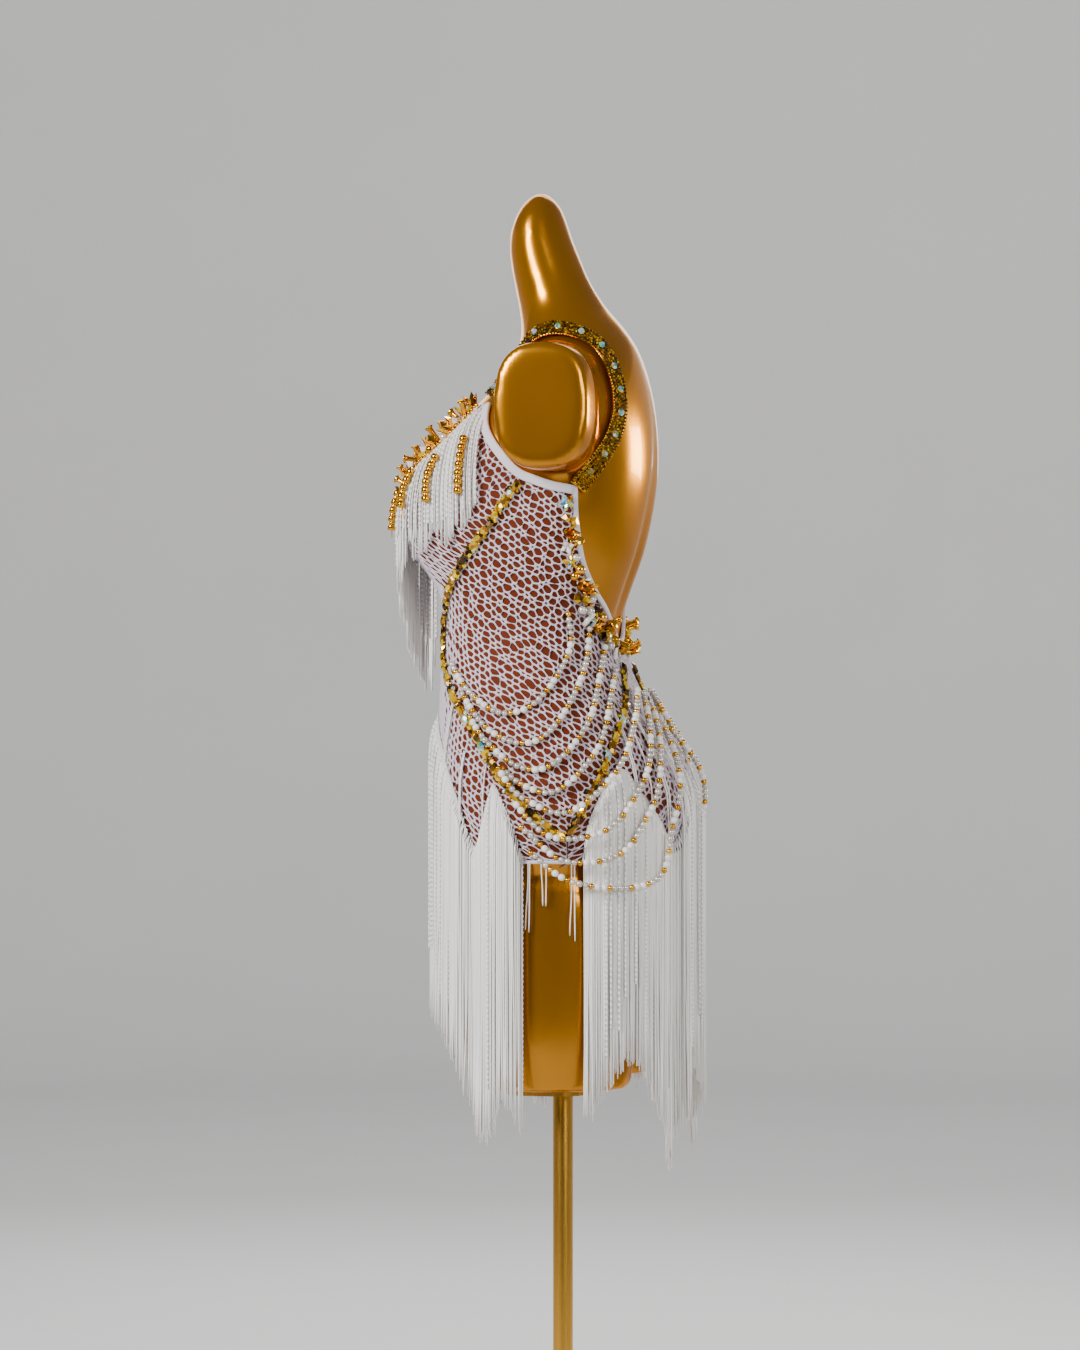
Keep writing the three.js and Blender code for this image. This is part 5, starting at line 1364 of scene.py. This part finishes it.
cluster("neck_cluster", "neck_beading", NECK_BEADING, NECK_COLUMNS, 61, 0.75)
cluster("back_cluster", "back_beading", BACK_BEADING, BACK_COLUMNS, 62, 0.1)

# %% [markdown]
# ## The stand
#
# The pole and the round base are turned pieces with finely rounded edges. The cross plate under the
# thighs keeps its CAD shape and takes a small bevel.

# %% Stand pieces
def turned_piece(name, node, radii, heights):
    """A turned part of the stand from the radius at each height."""
    points, faces, _ = turned_bead(radii, heights, sides=120)
    piece = add_piece(name, points, faces, [BRASS], "stand_metal")
    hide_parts(node)

turned_piece("pole", "stand_pole", [9.4, 9.9, 10, 10, 9.9, 9.4], [8.4, 8.6, 9.1, 567.7, 568.2, 568.4])
turned_piece("base", "stand_base",
             [168.6, 169.6, 170, 170, 169.4, 168, 166, 27.2, 26.2, 26, 23.2, 22.6, 22, 10.3],
             [0, 0.15, 0.6, 5.6, 6.9, 7.7, 8, 8, 8.2, 8.8, 23, 23.7, 24, 24])
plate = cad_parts["stand_plate"]
plate.data.materials.clear()
plate.data.materials.append(BRASS)
edge = plate.modifiers.new("soft_edge", "BEVEL")
edge.width, edge.segments, edge.harden_normals = 0.001, 2, True
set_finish(plate, "stand_metal")

# %% [markdown]
# ## The cloth
#
# Each lining is one cut piece of stretch cloth with the net on it.

# %% [markdown]
# ## Floor, light and camera
#
# A pale floor sweeps up into a low wall. It turns darker towards the camera and behind it, so that the
# gold has something dark to mirror. Four soft lamps light the dress and a fifth one the wall beyond it.
# The camera looks level at the wearer's left side, from ten degrees behind it, at four metres.

# %% Studio
SWEEP, BEND, WALL = 5.5, 1.5, 3.2
FLOOR_SIDES = 96
DARK_FROM, DARK_TO = 0.6, 3.2

def make_floor():
    """A round floor that curves up into a low wall, so that there is no line behind the dress."""
    f = Finish("floor", Roughness=0.9)
    side = f.node("ShaderNodeSeparateXYZ", None, [f.place()])
    shade = f.node("ShaderNodeMapRange", None, {"Value": side, "From Min": DARK_FROM, "From Max": DARK_TO})
    pale = f.blend(f.noise(3.0, 2.0), (0.66, 0.655, 0.65), (0.69, 0.685, 0.68))
    f.set("Base Color", f.blend(shade, pale, (0.22, 0.22, 0.22)))
    bend = np.radians(np.linspace(-90, 0, 13))
    radii = np.concatenate([[0.02, 3.0], SWEEP + BEND * np.cos(bend), [SWEEP + BEND]])
    heights = np.concatenate([[0, 0], BEND + BEND * np.sin(bend), [WALL]])
    turn = np.linspace(0, 2 * np.pi, FLOOR_SIDES, endpoint=False)
    rings = np.stack([radii[:, None] * np.cos(turn), radii[:, None] * np.sin(turn),
                      heights[:, None] + 0 * turn], -1)
    faces = grid_faces(len(radii), FLOOR_SIDES, wrap=True)[:, ::-1].tolist()
    mesh = bpy.data.meshes.new("floor")
    mesh.from_pydata(rings.reshape(-1, 3).tolist(), [], faces + [list(range(FLOOR_SIDES))])
    mesh.polygons.foreach_set("use_smooth", np.arange(len(faces) + 1) < len(faces))
    mesh.materials.append(f.material)
    floor = bpy.data.objects.new("floor", mesh)
    bpy.context.collection.objects.link(floor)
    floor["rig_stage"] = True

def aim(thing, at):
    """Turns a lamp or the camera towards a point."""
    thing.rotation_euler = (Vector(at) - thing.location).to_track_quat("-Z", "Y").to_euler()

def add_lamp(name, place, at, size, power, colour):
    """A soft lamp: its place, where it points, its width and height in metres, and its watts."""
    lamp = bpy.data.lights.new(name, "AREA")
    lamp.shape, lamp.size, lamp.size_y = "RECTANGLE", *size
    lamp.energy, lamp.color = power, colour
    thing = bpy.data.objects.new(name, lamp)
    thing.location = place
    bpy.context.collection.objects.link(thing)
    aim(thing, at)

make_floor()
world = bpy.data.worlds.new("studio")
bpy.context.scene.world = world
world.use_nodes = True
background = world.node_tree.nodes["Background"]
background.inputs["Color"].default_value = (0.62, 0.63, 0.66, 1)
background.inputs["Strength"].default_value = 0.36

MIDDLE = (0, 0, 1.0)
add_lamp("key", (2.75, -2.1, 2.5), MIDDLE, (1.3, 1.3), 220, (1.0, 0.97, 0.93))
add_lamp("soft", (2.6, 2.4, 1.9), MIDDLE, (1.6, 1.6), 70, (1.0, 0.98, 0.95))
add_lamp("shoulder", (-1.6, 1.9, 1.3), (0.05, 0.08, 1.2), (0.9, 0.4), 32, (1.0, 0.95, 0.82))
add_lamp("fill", (-2.4, -0.6, 2.2), MIDDLE, (2.0, 2.0), 40, (0.94, 0.96, 1.0))
add_lamp("backdrop", (-2.0, 0, 3.9), (-6.5, 0, 1.0), (3.0, 1.0), 120, (1.0, 1.0, 1.0))

CAMERA_TURN, CAMERA_DISTANCE = np.radians(10), 4.0
TARGET = np.array([0.0040, -0.02265, 0.978])
camera = bpy.data.objects.new("camera", bpy.data.cameras.new("camera"))
camera.data.sensor_width, camera.data.lens = 36, 106.67
camera.location = TARGET + CAMERA_DISTANCE * np.array([np.cos(CAMERA_TURN), np.sin(CAMERA_TURN), 0])
bpy.context.collection.objects.link(camera)
aim(camera, TARGET)
bpy.context.scene.camera = camera

# %% Finish
made = [p for p in bpy.data.objects if p.type == "MESH" and "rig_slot" in p]
print("pieces with a finish:", len(made))
visual_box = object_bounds()
sizes = {name: [list(map(float, corner)) for corner in box] for name, box in
         (("cad", cad_box), ("visual", visual_box))}
print("sizes:", sizes)
